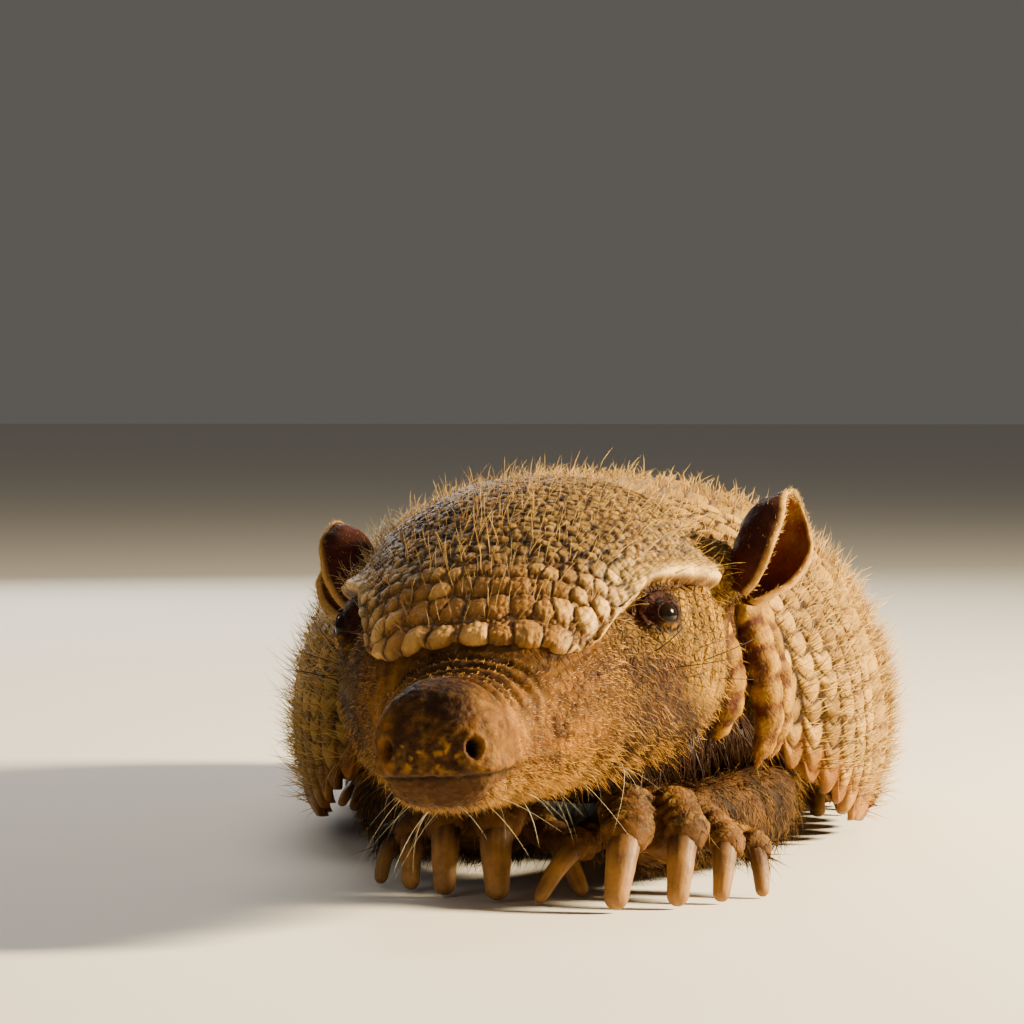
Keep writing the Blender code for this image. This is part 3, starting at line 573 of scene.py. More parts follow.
head = {
    # ahead of the nape, half width, crown, jaw, level of the widest place
    "stations": (
        (0.0, 30.0, 69.0, 23.0, 43.0),
        (8.0, 33.5, 73.0, 22.6, 43.0),
        (20.0, 34.5, 73.5, 22.4, 42.0),
        (32.0, 33.2, 70.5, 22.2, 41.0),
        (42.0, 30.6, 65.5, 21.7, 40.0),
        (52.0, 26.4, 59.0, 20.9, 38.5),
        (62.0, 20.4, 50.6, 20.1, 36.0),
        (70.0, 15.2, 45.0, 19.9, 33.0),
        (78.0, 11.8, 42.6, 20.1, 31.5),
        (86.0, 10.4, 41.6, 20.8, 31.5),
        (90.5, 9.2, 40.0, 22.0, 31.5),
        (92.8, 6.6, 37.2, 25.2, 31.5),
    ),
    "crownRound": 2.2,
    "jawRound": 2.9,
    "nape": (-1.0, -89.5),
    "yaw": 10.5,
    "roll": 3.0,
    "middle": 45.0,       # height of the axis it rolls about
    "tip": (94.2, 31.2),  # the point that closes the nose: ahead, up
    "coat": 0.7,          # depth of the short fur that the skin leaves room for
}
yawCos, yawSin = math.cos(math.radians(head["yaw"])), math.sin(math.radians(head["yaw"]))
rollCos, rollSin = math.cos(math.radians(head["roll"])), math.sin(math.radians(head["roll"]))
forward = np.array([-yawSin, -yawCos, 0.0])
leftward = np.array([yawCos, -yawSin, 0.0])
upward = np.array([0.0, 0.0, 1.0])
headEnd = head["stations"][-1][0]


def headTurn(vectors):
    # a direction (ahead, left, up) of the head in the model's frame
    ahead, out, up = np.moveaxis(np.asarray(vectors, float), -1, 0)
    out, up = out * rollCos - up * rollSin, out * rollSin + up * rollCos
    return ahead[..., None] * forward + out[..., None] * leftward + up[..., None] * upward


def headPlace(ahead, out, up):
    # place ahead of the nape, left of the middle plane and over the floor, before the head rolls
    ahead, out, up = np.broadcast_arrays(ahead, out, up)
    place = headTurn(np.stack([ahead, out, up - head["middle"]], -1))
    return place + np.array([*head["nape"], head["middle"]])


def headInverse(points):
    # the head's own (ahead, left, up) of points of the model's frame
    local = points - np.array([*head["nape"], head["middle"]])
    ahead, out, up = local @ forward, local @ leftward, local[..., 2]
    return ahead, out * rollCos + up * rollSin, up * rollCos - out * rollSin + head["middle"]


def headPoint(ahead, turn, outward=0.0):
    # superellipse of the head at a distance ahead: a crown half over a jaw half, both as wide
    at = np.clip(ahead, 0.0, headEnd)
    wide, crown, jaw, level = (through(head["stations"], c, at) for c in range(1, 5))
    upper = np.cos(turn) > 0
    sideA, upA = hoop(turn, head["crownRound"])
    sideB, upB = hoop(turn, head["jawRound"])
    side, up = np.where(upper, sideA, sideB), np.where(upper, upA, upB)
    rise = np.where(upper, (crown - level + outward) * up, (level - jaw + outward) * up)
    return headPlace(ahead, (wide + outward) * side, level + rise)


def ringTube(path, radii, sides=24, flat=1.0, hint=(0, 0, 1)):
    # rings square to a path: p + r (cos a side + flat sin a rise)
    path, radii = np.asarray(path, float), np.asarray(radii, float)
    along = unit(np.gradient(path, axis=0))
    side = unit(np.cross(along, np.asarray(hint, float)))
    rise = np.cross(side, along)
    a = wholeTurn(sides)
    flat = np.broadcast_to(flat, radii.shape)[:, None, None]
    circle = np.cos(a)[None, :, None] * side[:, None] + flat * np.sin(a)[None, :, None] * rise[:, None]
    return path[:, None] + radii[:, None, None] * circle


def closedLoft(rings):
    # rings joined by quads, with a fan from the middle of each end ring; faces turned outwards
    rows, columns = rings.shape[:2]
    points = np.concatenate([rings.reshape(-1, 3), rings[:1].mean(1), rings[-1:].mean(1)])
    quads = gridQuads(rows, columns, wrap=True)
    i, last = np.arange(columns), (rows - 1) * columns
    j = (i + 1) % columns
    tris = np.concatenate([
        np.stack([j, i, np.full(columns, rows * columns)], -1),
        np.stack([last + i, last + j, np.full(columns, rows * columns + 1)], -1),
    ])
    a, b, c, d = (points[quads[:, k]] for k in range(4))
    middle = points.mean(0)
    if np.einsum("ij,ij->", np.cross(c - a, d - b), (a + b + c + d) / 4 - middle) < 0:
        quads, tris = quads[:, ::-1], tris[:, ::-1]
    return points, quads, tris


def joined(parts):
    # parts one after another in one set of arrays, each one's vertex numbers shifted by those before
    start, points, quads, tris = 0, [], [], []
    for p, q, t in parts:
        points.append(p)
        quads.append(q + start)
        tris.append(t + start)
        start += len(p)
    return np.concatenate(points), np.concatenate(quads), np.concatenate(tris)


def meshArrays(mesh):
    # vertices in millimetres and triangles of a mesh
    points = np.empty(len(mesh.vertices) * 3, np.float32)
    mesh.vertices.foreach_get("co", points)
    mesh.calc_loop_triangles()
    tris = np.empty(len(mesh.loop_triangles) * 3, np.int32)
    mesh.loop_triangles.foreach_get("vertices", tris)
    return points.reshape(-1, 3).astype(float) / mm, tris.reshape(-1, 3)


def modified(part, kind, **settings):
    # one modifier applied to arrays, and arrays again
    obj = makeObject("flesh_draft", *part)
    step = obj.modifiers.new(kind, kind)
    for key, value in settings.items():
        setattr(step, key, value)
    done = bpy.data.meshes.new_from_object(obj.evaluated_get(bpy.context.evaluated_depsgraph_get()))
    points, tris = meshArrays(done)
    draft = obj.data
    bpy.data.objects.remove(obj)
    bpy.data.meshes.remove(draft)
    bpy.data.meshes.remove(done)
    return points, np.zeros((0, 4), np.int64), tris.astype(np.int64)


def triNormals(points, tris):
    # at each vertex: the sum of (b - a) x (c - a) over its triangles, made a unit vector
    a, b, c = (points[tris[:, k]] for k in range(3))
    normal = np.cross(b - a, c - a)
    total = np.zeros_like(points)
    for k in range(3):
        for axis in range(3):
            total[:, axis] += np.bincount(tris[:, k], normal[:, axis], len(points))
    return unit(total)


def smoothed(points, tris, times, share=0.5):
    # several times over, each vertex moves by share of the way to the mean of its neighbours
    ends = np.concatenate([tris[:, [0, 1]], tris[:, [1, 2]], tris[:, [2, 0]]])
    count = np.maximum(np.bincount(ends[:, 0], minlength=len(points)), 1)[:, None]
    for _ in range(times):
        total = [np.bincount(ends[:, 0], points[ends[:, 1], k], len(points)) for k in range(3)]
        points = points + share * (np.stack(total, -1) / count - points)
    return points


headTurns = np.linspace(-np.pi, np.pi, 150, endpoint=False)[None, :]
# how far the neck stays inside the shell, over its belly and inside the nape
neckIn = {"shell": 4.2, "belly": -19.0, "nape": 0.8}


def neckRings():
    # from the front hoop of the shell to the nape, straight lines between two hoops
    low = shellPoint(0.0, headTurns, neckIn["shell"], neckIn["belly"])
    high = headPoint(0.0, headTurns, -head["coat"] - neckIn["nape"])
    k = np.linspace(-0.35, 0.96, 24)[:, None, None]
    return low * (1 - k) + high * k


def headRings():
    # rings of headPoint inside the coat, closer together over the nose, and four more that close its end:
    # middle + k (end - middle) + 1.2 k (1 - k) ahead
    s = np.concatenate([np.linspace(0.0, 78.0, 79), np.linspace(78.8, headEnd, 22)])[:, None]
    outward = -head["coat"] * (1 - ramp(s, 74.0, 80.0))
    rings = headPoint(s, headTurns, outward)
    end = headPoint(headEnd, headTurns)
    middle = headPlace(head["tip"][0], 0.0, head["tip"][1])
    swell = headTurn((1, 0, 0)) * 1.2
    closing = [middle + (end - middle) * k + swell * (k * (1 - k)) for k in (0.86, 0.68, 0.45, 0.2)]
    return np.concatenate([rings, np.concatenate(closing)])


eye = {"ahead": 42.0, "out": 28.0, "up": 49.4, "ball": 3.2, "sunk": 0.7, "gaze": (0.58, 0.80, 0.14)}
# rings of the lid, as shares of the eye's opening
lidSteps = (0.84, 0.94, 1.0, 1.07, 1.16, 1.28, 1.42, 1.62, 1.88, 2.16, 2.4)


def nearEye(points, side):
    # place in the eye's own plane: along, up and outwards from its middle
    gaze = headTurn((eye["gaze"][0], side * eye["gaze"][1], eye["gaze"][2]))
    gaze = gaze / np.linalg.norm(gaze)
    along = unit(np.cross(gaze, upward)) * -side
    rise = unit(np.cross(along, gaze))
    rise = rise * np.sign(rise[2])
    middle = headPlace(eye["ahead"], side * eye["out"], eye["up"])
    local = points - middle
    return local @ along, local @ rise, local @ gaze, middle, along, rise, gaze


def byEye(gaze):
    # within the slab of skin that holds the eye
    return (gaze > -6) & (gaze < 9)


def cheekFolds(points):
    # bare skin behind the eye: 1 there, and the creases that run round the eye every few millimetres
    mask, crease = np.zeros(len(points)), np.zeros(len(points))
    for side in (-1, 1):
        along, rise, gaze = nearEye(points, side)[:3]
        here = ramp(along, 3.0, 6.5) * (1 - ramp(along, 21.0, 25.0))
        here = here * ramp(rise + 0.25 * along, -15.0, -9.0) * (1 - ramp(rise, 5.0, 8.0))
        here = here * (gaze > -14) * (gaze < 9)
        ring = np.hypot(along + 2.0, 0.72 * rise) + 0.7 * cloud(points, 6.0, 66)
        mask = np.maximum(mask, here)
        crease = np.maximum(crease, here * bump(np.mod(ring, 3.9), 1.95, 0.62))
    return mask, crease


nose = {
    "nostril": (91.1, 6.0, 31.4),          # ahead, out, up
    "axis": (0.80, 0.60, 0.10),
    "arches": (80.4, 77.2, 74.2, 71.4, 68.8),  # the edge of the bare pad and the wrinkles behind it
    "mouth": 26.9,                         # height of the mouth 92 mm ahead
    "mouthRise": 0.02,                     # and its rise for each millimetre back
}


def snoutArch(s, x, up):
    # distance ahead that is constant along an arch over the snout: its feet bend back under 34 mm
    return s + 0.020 * np.maximum(34 - up, 0) ** 2 * 0.35 - 0.10 * np.maximum(x - 6, 0)


def nostrilPlace(side):
    # the middle of a nostril's opening
    ahead, out, up = nose["nostril"]
    return headPlace(ahead, side * out, up)


def mouthLevel(s):
    # straight line from the front of the mouth
    return nose["mouth"] + nose["mouthRise"] * (92 - s)


def neckWave(points, s, x, up):
    # 1 on the flanks of the neck, and the distance ahead along which their folds follow one another
    flank = ramp(x, 19.0, 25.0) * (1 - ramp(up, 60.0, 67.0))
    return flank, s + 1.4 * cloud(points, 14.0, 6) - 0.05 * (up - 40)


def headRelief(points, normals):
    # points + lift x normal: lift is the sum of bumps for the folds, grooves, nostrils, lips and sockets
    s, out, up = headInverse(points)
    x = np.abs(out)
    lift = np.zeros(len(points))
    # the bare nose pad stands over two grooves that arch across the snout
    arch = snoutArch(s, x, up)
    ridge = 0.15 + 0.85 * ramp(up - 0.25 * x, 32.0, 37.5)
    lift -= (0.35 + 0.75 * ridge) * bump(arch, nose["arches"][0], 1.3)
    lift += 0.55 * ramp(arch, 81.2, 84.0)
    for k, middle in enumerate(nose["arches"][1:]):
        lift -= ridge * (0.85 - 0.1 * k) * bump(arch + 0.5 * cloud(points, 5.0, 60 + k), middle, 0.60)
        lift += ridge * 0.35 * bump(arch, middle + 1.4, 1.0)
    lift -= 0.35 * bump(out + 0.2 * cloud(points, 3.0, 4), 0.0, 0.55) * ramp(s, 89.5, 91.5)
    # nostrils
    for side in (-1, 1):
        axis = headTurn((nose["axis"][0], side * nose["axis"][1], nose["axis"][2]))
        axis = axis / np.linalg.norm(axis)
        local = points - nostrilPlace(side)
        off = local - (local @ axis)[:, None] * axis
        tall, wide = off[:, 2], np.linalg.norm(off[:, :2], axis=1)
        q = np.sqrt(((wide - 0.10 * tall) / 1.15) ** 2 + (tall / 1.60) ** 2)
        near = np.abs(local @ axis) < 6
        lift -= near * 3.0 * (1 - ramp(q, 0.55, 1.05))
        lift += near * 0.50 * bump(q, 1.45, 0.32)
    # mouth and the narrower lower lip
    mouth = ramp(s, 68.0, 78.0)
    lift -= mouth * 1.1 * bump(up, mouthLevel(s), 0.48)
    lift -= mouth * 1.3 * (1 - ramp(up, 25.9, 27.2)) * ramp(s, 66.0, 80.0)
    lift += mouth * 0.30 * bump(up, 28.3, 0.9)
    # sockets
    for side in (-1, 1):
        along, rise, gaze = nearEye(points, side)[:3]
        q = np.hypot(along / 4.4, rise / 3.8)
        close = byEye(gaze)
        lift += close * 1.5 * np.exp(-((q / 1.9) ** 2)) * ramp(along - 0.3 * rise, -4.5, 1.0)
        lift -= close * 3.2 * (1 - ramp(q, 0.28, 0.80))
        # the hollow ahead of the eye, the crease over it and the one under it
        lift -= close * 1.6 * bump(along, -6.0, 2.8) * bump(rise, 1.0, 3.6)
        over = bump(rise - 0.10 * along, 4.7, 0.9)
        lift -= close * 1.0 * over * ramp(along, -6.0, -2.0) * (1 - ramp(along, 11.0, 15.0))
        under = bump(np.hypot(along / 5.8, (rise + 0.4) / 5.2), 1.0, 0.10)
        lift -= close * 0.6 * under * (1 - ramp(rise, 0.0, 2.0))
    # folds of the cheek and the neck, pinched into knobs, and the bare creases behind the eye
    flank, wave = neckWave(points, s, x, up)
    pinch = 0.76 + 0.24 * np.cos(2 * np.pi * (up + 2.0 * cloud(points, 9.0, 8)) / 4.6)
    folds = 1.6 * bump(wave, -9.6, 2.6) * pinch + 1.2 * bump(wave, -1.4, 2.3) * pinch
    folds = folds + 1.5 * bump(wave, 6.0, 1.7) - 1.2 * bump(wave, -5.4, 1.5) - 1.5 * bump(wave, 2.6, 1.3)
    lift += flank * folds
    lift -= flank * 2.2 * ramp(-wave, 12.5, 17.0)
    mask, crease = cheekFolds(points)
    lift += 0.5 * mask - 1.1 * crease
    throat = (1 - ramp(up, 24.0, 34.0)) * (1 - ramp(s, 50.0, 66.0))
    lift += throat * 0.8 * np.cos(2 * np.pi * (s + 2.0 * cloud(points, 12.0, 9)) / 8.5) * ramp(s, -22, -10)
    for period, high, seed in ((11.0, 0.45, 11), (5.0, 0.25, 12)):
        lift += high * cloud(points, period, seed) * (1 - ramp(s, 76.0, 82.0))
    # small knobs on the snout and on its pad
    pad = ramp(s, 80.0, 83.0)
    lift += 0.24 * ramp(s, 50.0, 58.0) * (1 - ramp(s, 79.0, 82.0)) * (knobs(points, 1.5, 24) - 0.5)
    lift += 0.30 * pad * (knobs(points, 1.5, 13) - 0.5) + 0.22 * pad * cloud(points, 3.4, 23)
    return points + normals * lift[:, None]


# knuckle, claw root, claw tip, claw width: the foot points along -Y, its thumb is at -X
foreFoot = {
    "toes": (
        ((-9.0, -9.0, 12.0), (-14.0, -15.0, 9.5), (-20.0, -22.0), 4.6, 3.6),
        ((-5.0, -15.0, 16.5), (-4.5, -23.5, 12.5), (-6.2, -31.5), 6.2, 4.9),
        ((3.0, -12.5, 16.0), (5.5, -18.5, 12.0), (4.2, -25.5), 5.6, 4.7),
        ((9.0, -7.0, 13.0), (13.0, -11.5, 9.8), (11.6, -18.0), 4.6, 4.0),
        ((13.0, 0.0, 10.0), (18.5, -3.0, 8.0), (18.8, -9.5), 3.6, 3.3),
    ),
    "heart": (-0.5, -5.0, 11.0),
    "palm": ((0.0, 5.0, 11.5, 6.6, 1.0), (0.0, 1.0, 11.5, 7.3, 0.95), (-0.5, -4.0, 12.0, 9.4, 0.78),
             (-1.0, -10.0, 12.3, 9.9, 0.62), (-1.5, -15.5, 12.5, 6.6, 0.5)),
    "left": ((17.0, -108.5), 0.0),
    "right": ((-13.7, -96.1), 5.0),
    "leg": (((0.0, 3.0, 11.5), 6.6), ((0.0, 8.0, 11.5), 6.8)),
    "elbow": ((34.0, -60.0, 10.5), 7.6),
    "shoulder": ((26.0, -40.0, 19.0), 8.5),
    "furFrom": (-14.0, -4.0),
    "seed": 50,
    "kept": 0.225,        # share of the triangles that the finished skin keeps
}
hindFoot = {
    "toes": (
        ((-7.5, -34.0, 6.0), (-9.0, -42.0, 4.6), (-10.0, -50.0), 3.4, 3.3),
        ((-3.5, -37.0, 6.6), (-4.0, -46.0, 5.0), (-4.6, -55.5), 4.2, 3.7),
        ((1.0, -37.5, 6.8), (1.4, -47.0, 5.2), (1.4, -57.0), 4.6, 3.8),
        ((5.2, -35.0, 6.4), (6.6, -43.5, 4.8), (7.2, -52.5), 4.0, 3.6),
        ((8.6, -29.0, 5.6), (11.0, -36.0, 4.2), (12.2, -43.5), 3.2, 3.1),
    ),
    "heart": (0.3, -20.0, 5.5),
    "palm": ((0.0, 3.4, 7.5, 3.4, 0.9), (0.0, 0.0, 8.0, 6.7, 1.1), (0.0, -10.0, 8.0, 7.3, 1.1),
             (0.3, -24.0, 6.4, 9.1, 0.8), (0.6, -36.0, 5.2, 8.0, 0.7)),
    "left": ((38.0, 72.0), 7.0),
    "right": ((-38.0, 72.0), 7.0),
    "leg": (((0.0, -3.0, 12.0), 5.0), ((0.0, -3.0, 20.0), 6.8)),
    "elbow": ((34.0, 56.0, 26.0), 9.0),
    "shoulder": ((31.0, 44.0, 30.0), 11.0),
    "furFrom": (-30.0, -8.0),
    "seed": 60,
    "kept": 0.12,
}


def footMatrix(foot, side):
    # a foot's own point p stands at M p + place: M mirrors it to its side and turns it by its heading
    (x, y), heading = foot["left" if side > 0 else "right"]
    turn = math.radians(heading * side)
    spin = np.array([[math.cos(turn), -math.sin(turn), 0], [math.sin(turn), math.cos(turn), 0], [0, 0, 1]])
    return spin @ np.diag([side, 1, 1]), np.array([x, y, 0.0])


def footParts(foot, side, hint):
    # bent tubes for the toes, flattened rings for the palm, and a leg through its stations to the shoulder
    spin, place = footMatrix(foot, side)
    heart = np.array(foot["heart"])
    parts = []
    for knuckle, root, tip, width, radius in foot["toes"]:
        knuckle, root = np.array(knuckle), np.array(root)
        start = heart + (knuckle - heart) * 0.45
        beyond = root + (np.array([*tip, 0.0]) - root) * 0.17
        path = [start, (start + knuckle) / 2, knuckle, knuckle + (root - knuckle) * 0.55, root, beyond]
        size = [radius * k for k in (1.05, 1.06, 1.03, 0.95)] + [width * 0.60 + 0.55, width * 0.50 + 0.30]
        rings = ringTube(path, size, 28, [0.95, 0.95, 0.92, 0.88, 0.82, 0.80])
        parts.append(closedLoft(rings @ spin.T + place))
    a = wholeTurn(40)
    palm = [np.stack([x + r * np.cos(a), np.full(40, y), np.maximum(z + r * flat * np.sin(a), 0.3)], -1)
            for x, y, z, r, flat in foot["palm"]]
    parts.append(closedLoft(np.array(palm) @ spin.T + place))
    ends = [(np.array(p) @ spin.T + place, r) for p, r in foot["leg"]]
    for p, r in (foot["elbow"], foot["shoulder"]):
        ends.append((np.array([side * p[0], p[1], p[2]]), r))
    knots = np.linspace(0, 1, len(ends))
    fine = np.linspace(0, 1, 26)
    table = np.array([[k, *p, r] for k, (p, r) in zip(knots, ends)])
    path = np.stack([through(table, c, fine) for c in (1, 2, 3)], -1)
    parts.append(closedLoft(ringTube(path, through(table, 4, fine), 36, 1.0, hint)))
    return parts


def toeRelief(points, normals, foot, side):
    # knuckle creases, rows of raised scales on top of the toes, a pad underneath
    spin, place = footMatrix(foot, side)
    local = (points - place) @ spin
    seed = foot["seed"]
    lift = 0.35 * cloud(points, 6.0, seed)
    scaly = np.zeros(len(points))
    for knuckle, root, tip, width, radius in foot["toes"]:
        knuckle, root = np.array(knuckle), np.array(root)
        axis = unit(root - knuckle)
        reach = (local - knuckle) @ axis
        off = np.linalg.norm(local - knuckle - reach[:, None] * axis, axis=1)
        length = np.linalg.norm(root - knuckle)
        near = (off < radius + 2.2) * ramp(reach, -7.0, -3.0)
        near = near * (1 - ramp(reach, length - 0.5, length + 1.5))
        top = ramp(local[:, 2] - knuckle[2] - reach * axis[2], -1.0, 1.5)
        crease = np.mod(reach + 9.9 + 0.5 * cloud(points, 3.0, seed + 2), 2.4)
        lift -= near * 0.42 * (bump(crease, 1.2, 0.38))
        lift += near * 0.6 * bump(reach, length - 1.2, 0.9)
        scaly = np.maximum(scaly, near * top)
    knob = knobs(local, 2.4, seed, (1.5, 0.75, 1.2))
    lift += scaly * 0.24 * (knob - 0.55)
    lift += 0.15 * (1 - scaly) * (knobs(points, 1.7, seed + 1) - 0.5)
    return points + normals * lift[:, None], scaly, knob


tail = {"root": 104.0, "tip": 232.0, "radii": (12.5, 4.6), "bend": 26.0, "ring": 5.6}


def tailGrid():
    # circles along a bent centre line, with a raised ring every few millimetres
    t = np.linspace(0, 1, 150)
    # it starts 30 mm inside the rump
    ty = tail["root"] - 30 + (tail["tip"] - tail["root"] + 29.5) * t
    share = np.clip((ty - tail["root"]) / (tail["tip"] - tail["root"]), 0, 1)
    radius = tail["radii"][0] + (tail["radii"][1] - tail["radii"][0]) * share**0.85 - 0.5
    before = np.maximum(tail["root"] + 4 - ty, 0)
    radius = (radius + 0.13 * before) * roundedEnd(t, 0.93, 0.0702, 2.2, 0.004)
    a = wholeTurn(56)
    ring = (ty - tail["root"]) / (tail["ring"] * (1.15 - 0.5 * share))
    row = np.floor(ring).astype(int)
    w = 2 * (ring - row) - 1
    count = np.clip(np.round(2 * np.pi * radius / 3.1), 6, 26)
    at = a[None, :] / (2 * np.pi) * count[:, None] + 0.5 * (row % 2)[:, None]
    u = 2 * (at - np.floor(at)) - 1
    q = squarish(u, w[:, None], 3)
    body = 1 - ramp(q, 0.65, 1.0)
    lift = 0.55 * body + 0.25 * np.clip(w, 0, 1)[:, None] - 0.3
    lift = lift * ramp(ty, tail["root"] - 8, tail["root"])[:, None]
    path = np.stack([tail["bend"] * share**2, ty, radius + 1.5 * (1 - share) ** 2], -1)
    circle = np.stack([np.cos(a), np.zeros_like(a), np.sin(a)], -1)
    grid = path[:, None] + (radius[:, None] + lift)[..., None] * circle
    grid[..., 2] = np.maximum(grid[..., 2], 0.15)
    return grid, 1 - body


ear = {
    "left": ((14.0, 36.0, 53.0), (5.0, 46.0, 68.0)),
    "right": ((14.0, -33.0, 52.5), (5.0, -41.5, 66.0)),
    "opens": (0.38, 0.92, 0.0),
    "radius": 7.5,
    "thick": 1.3,
}


def earGrid(side):
    # a leaf rolled about its length, half width = angle x radius, with a tip rounded as an ellipse;
    # an outer and an inner wall meet in a rounded rim; the gap is the distance to that rim
    root, tip = (headPlace(*place) for place in ear["left" if side > 0 else "right"])
    opens = headTurn((ear["opens"][0], side * ear["opens"][1], ear["opens"][2]))
    axis = unit(tip - root)
    opens = unit(opens - opens @ axis * axis)
    across = np.cross(axis, opens) * side
    length = np.linalg.norm(tip - root)
    share = 1 - 1.10 * (1 - np.linspace(0, 1, 40)) ** 1.5
    wall = np.linspace(-1, 1, 56)
    swell = np.clip(np.sin(np.pi * np.clip(0.62 * share + 0.14, 0.02, 1)), 0.1, 1) ** 0.75
    half = np.radians(152 - 44 * np.clip(share, 0, 1) ** 0.8) * roundedEnd(share, 0.52, 0.481, 2.3, 0.0006)
    radius = ear["radius"] * swell * (1 - 0.30 * ramp(share, 0.62, 1.0))
    sheets = []
    for inner in (False, True):
        a = np.pi + wall[None, :] * half[:, None]
        depth = ear["thick"] * (1 - 0.40 * np.clip(share, 0, 1)) if inner else 0 * share
        curl = 1 - 0.16 * np.abs(wall) ** 6 * ramp(share, 0.2, 0.6)[:, None]
        middle = root + axis * (length * share)[:, None] + opens * (ear["radius"] * 0.3)
        reach = (radius - depth)[:, None, None] * curl[..., None]
        circle = np.cos(a)[..., None] * opens + np.sin(a)[..., None] * across
        sheets.append(middle[:, None] + reach * circle)
    outer, inner = sheets
    gap = np.minimum((1 - np.abs(wall)) * (half * radius)[:, None], 1.3 * length * (1 - share)[:, None])
    inner = outer + (inner - outer) * np.sqrt(np.clip(gap / 1.2, 0.05, 1))[..., None]
    grain = 0.24 * cloud(outer, 1.6, 31 + side) + 0.34 * cloud(outer, 4.5, 33)
    outward = unit(outer - (outer.mean(1, keepdims=True) + 2.0 * opens))
    swollen = 0.30 * bump(gap, 0.5, 0.6)
    outer = outer + outward * (grain + swollen)[..., None]
    folds = 0.45 * cloud(inner * (1.0, 1.0, 0.45), 2.4, 34) * ramp(gap, 1.5, 3.5)
    return outer, inner + outward * (0.6 * grain - swollen + folds)[..., None], gap, share


def earPart(side):
    # the two walls of an ear and the strips that close them, turned outwards by the sign of the volume
    outer, inner, gap, share = earGrid(side)
    rows, columns = outer.shape[:2]
    points = np.concatenate([outer.reshape(-1, 3), inner.reshape(-1, 3)])
    top = np.arange(rows * columns).reshape(rows, columns)
    low = top + rows * columns
    quads = [gridQuads(rows, columns), gridQuads(rows, columns, start=rows * columns)[:, ::-1]]
    edges = [(wall[-1], wall[0][::-1], wall[:, 0], wall[::-1, -1]) for wall in (top, low)]
    for edge, under in zip(*edges):
        quads.append(np.stack([edge[:-1], edge[1:], under[1:], under[:-1]], -1))
    quads = np.concatenate(quads)
    a, b, c, d = (points[quads[:, k]] for k in range(4))
    volume = np.einsum("ij,ij->", np.cross(b - a, c - a) + np.cross(c - a, d - a), a)
    if volume < 0:
        quads = quads[:, ::-1]
    high = np.tile(np.repeat(share, columns), 2)
    return (points, quads, np.zeros((0, 3), np.int64)), np.tile(gap.ravel(), 2), high


# middle line of the three knobbed folds of skin behind the cheek: ahead, out, up, radius, flatness
neckRolls = (
    ((15.0, 28.2, 61.0, 0.5, 1.8), (13.2, 30.0, 53.0, 1.6, 1.8), (12.0, 31.4, 45.5, 2.3, 1.8),
     (10.6, 32.6, 38.0, 2.6, 1.8), (9.4, 32.2, 31.0, 2.3, 1.8), (7.0, 28.5, 24.5, 1.2, 1.8)),
    ((6.4, 29.8, 62.0, 0.6, 1.6), (3.8, 33.2, 53.0, 2.0, 1.6), (2.2, 35.8, 44.5, 2.9, 1.6),
     (1.0, 37.4, 35.5, 3.1, 1.6), (-0.2, 37.2, 27.0, 2.6, 1.6), (-2.6, 34.0, 18.5, 1.1, 1.6)),
    ((-2.4, 30.5, 61.0, 0.5, 1.45), (-4.6, 33.6, 52.0, 1.6, 1.45), (-6.0, 36.4, 43.0, 2.3, 1.45),
     (-7.2, 38.0, 34.0, 2.6, 1.45), (-8.4, 37.8, 26.5, 2.2, 1.45), (-10.4, 35.0, 20.0, 1.1, 1.45)),
)


def rollPart(side, roll):
    # a flat tube hung from the neck; its edges are notched and its wall raised into blocks
    table = np.array(roll)
    table = np.concatenate([np.linspace(0, 1, len(table))[:, None], table[:, :4] * (1, side, 1, 1)], 1)
    t = np.linspace(0, 1, 66)
    path = headPlace(*(through(table, c, t) for c in (1, 2, 3)))
    length = travelled(path)
    radius = through(table, 4, t) * np.sqrt(np.clip(1 - np.abs(2 * t - 1) ** 7, 0.02, 1))
    rings = ringTube(path, radius, 34, roll[0][4], tuple(forward))
    outward = unit(rings - path[:, None])
    outer = ramp(outward @ (leftward * side) + 0.3 * (outward @ forward), -0.2, 0.8)
    wave = length[:, None] + 1.6 * cloud(rings, 7.0, 57) + 0.25 * np.abs(outward @ forward)
    knob = (0.5 + 0.5 * np.cos(2 * np.pi * wave / 5.2)) ** 0.6
    brink = np.abs(outward @ forward) ** 2
    grain = knobs(rings.reshape(-1, 3), 1.5, 59).reshape(knob.shape) - 0.5
    crease = cloud(rings * (1.0, 1.0, 0.35), 1.7, 63)
    lift = (0.50 * outer + 0.35 * brink) * (knob - 0.6) + 0.6 * cloud(rings, 6.0, 52)
    lift = lift + 0.20 * grain + 0.30 * crease
    rings = rings + outward * lift[..., None]
    # painted shade: darker between the blocks, on the faces of the fold turned fore and aft and in its
    # creases, with some mottling
    deep = 0.14 + 0.80 * (1 - ramp(knob, 0.15, 0.65)) + 0.40 * cloud(rings, 4.0, 53)
    deep = deep + 0.5 * np.abs(outward @ forward) ** 3 - 0.6 * crease
    tint = mix(srgb("fold"), srgb("foldDeep"), deep)
    tint = mix(tint, srgb("lobe"), 0.7 * (1 - ramp(rings[..., 2], 19.0, 30.0)))
    return closedLoft(rings), np.concatenate([tint.reshape(-1, 3), tint[:1, 0], tint[-1:, 0]])


lidColumns = 90


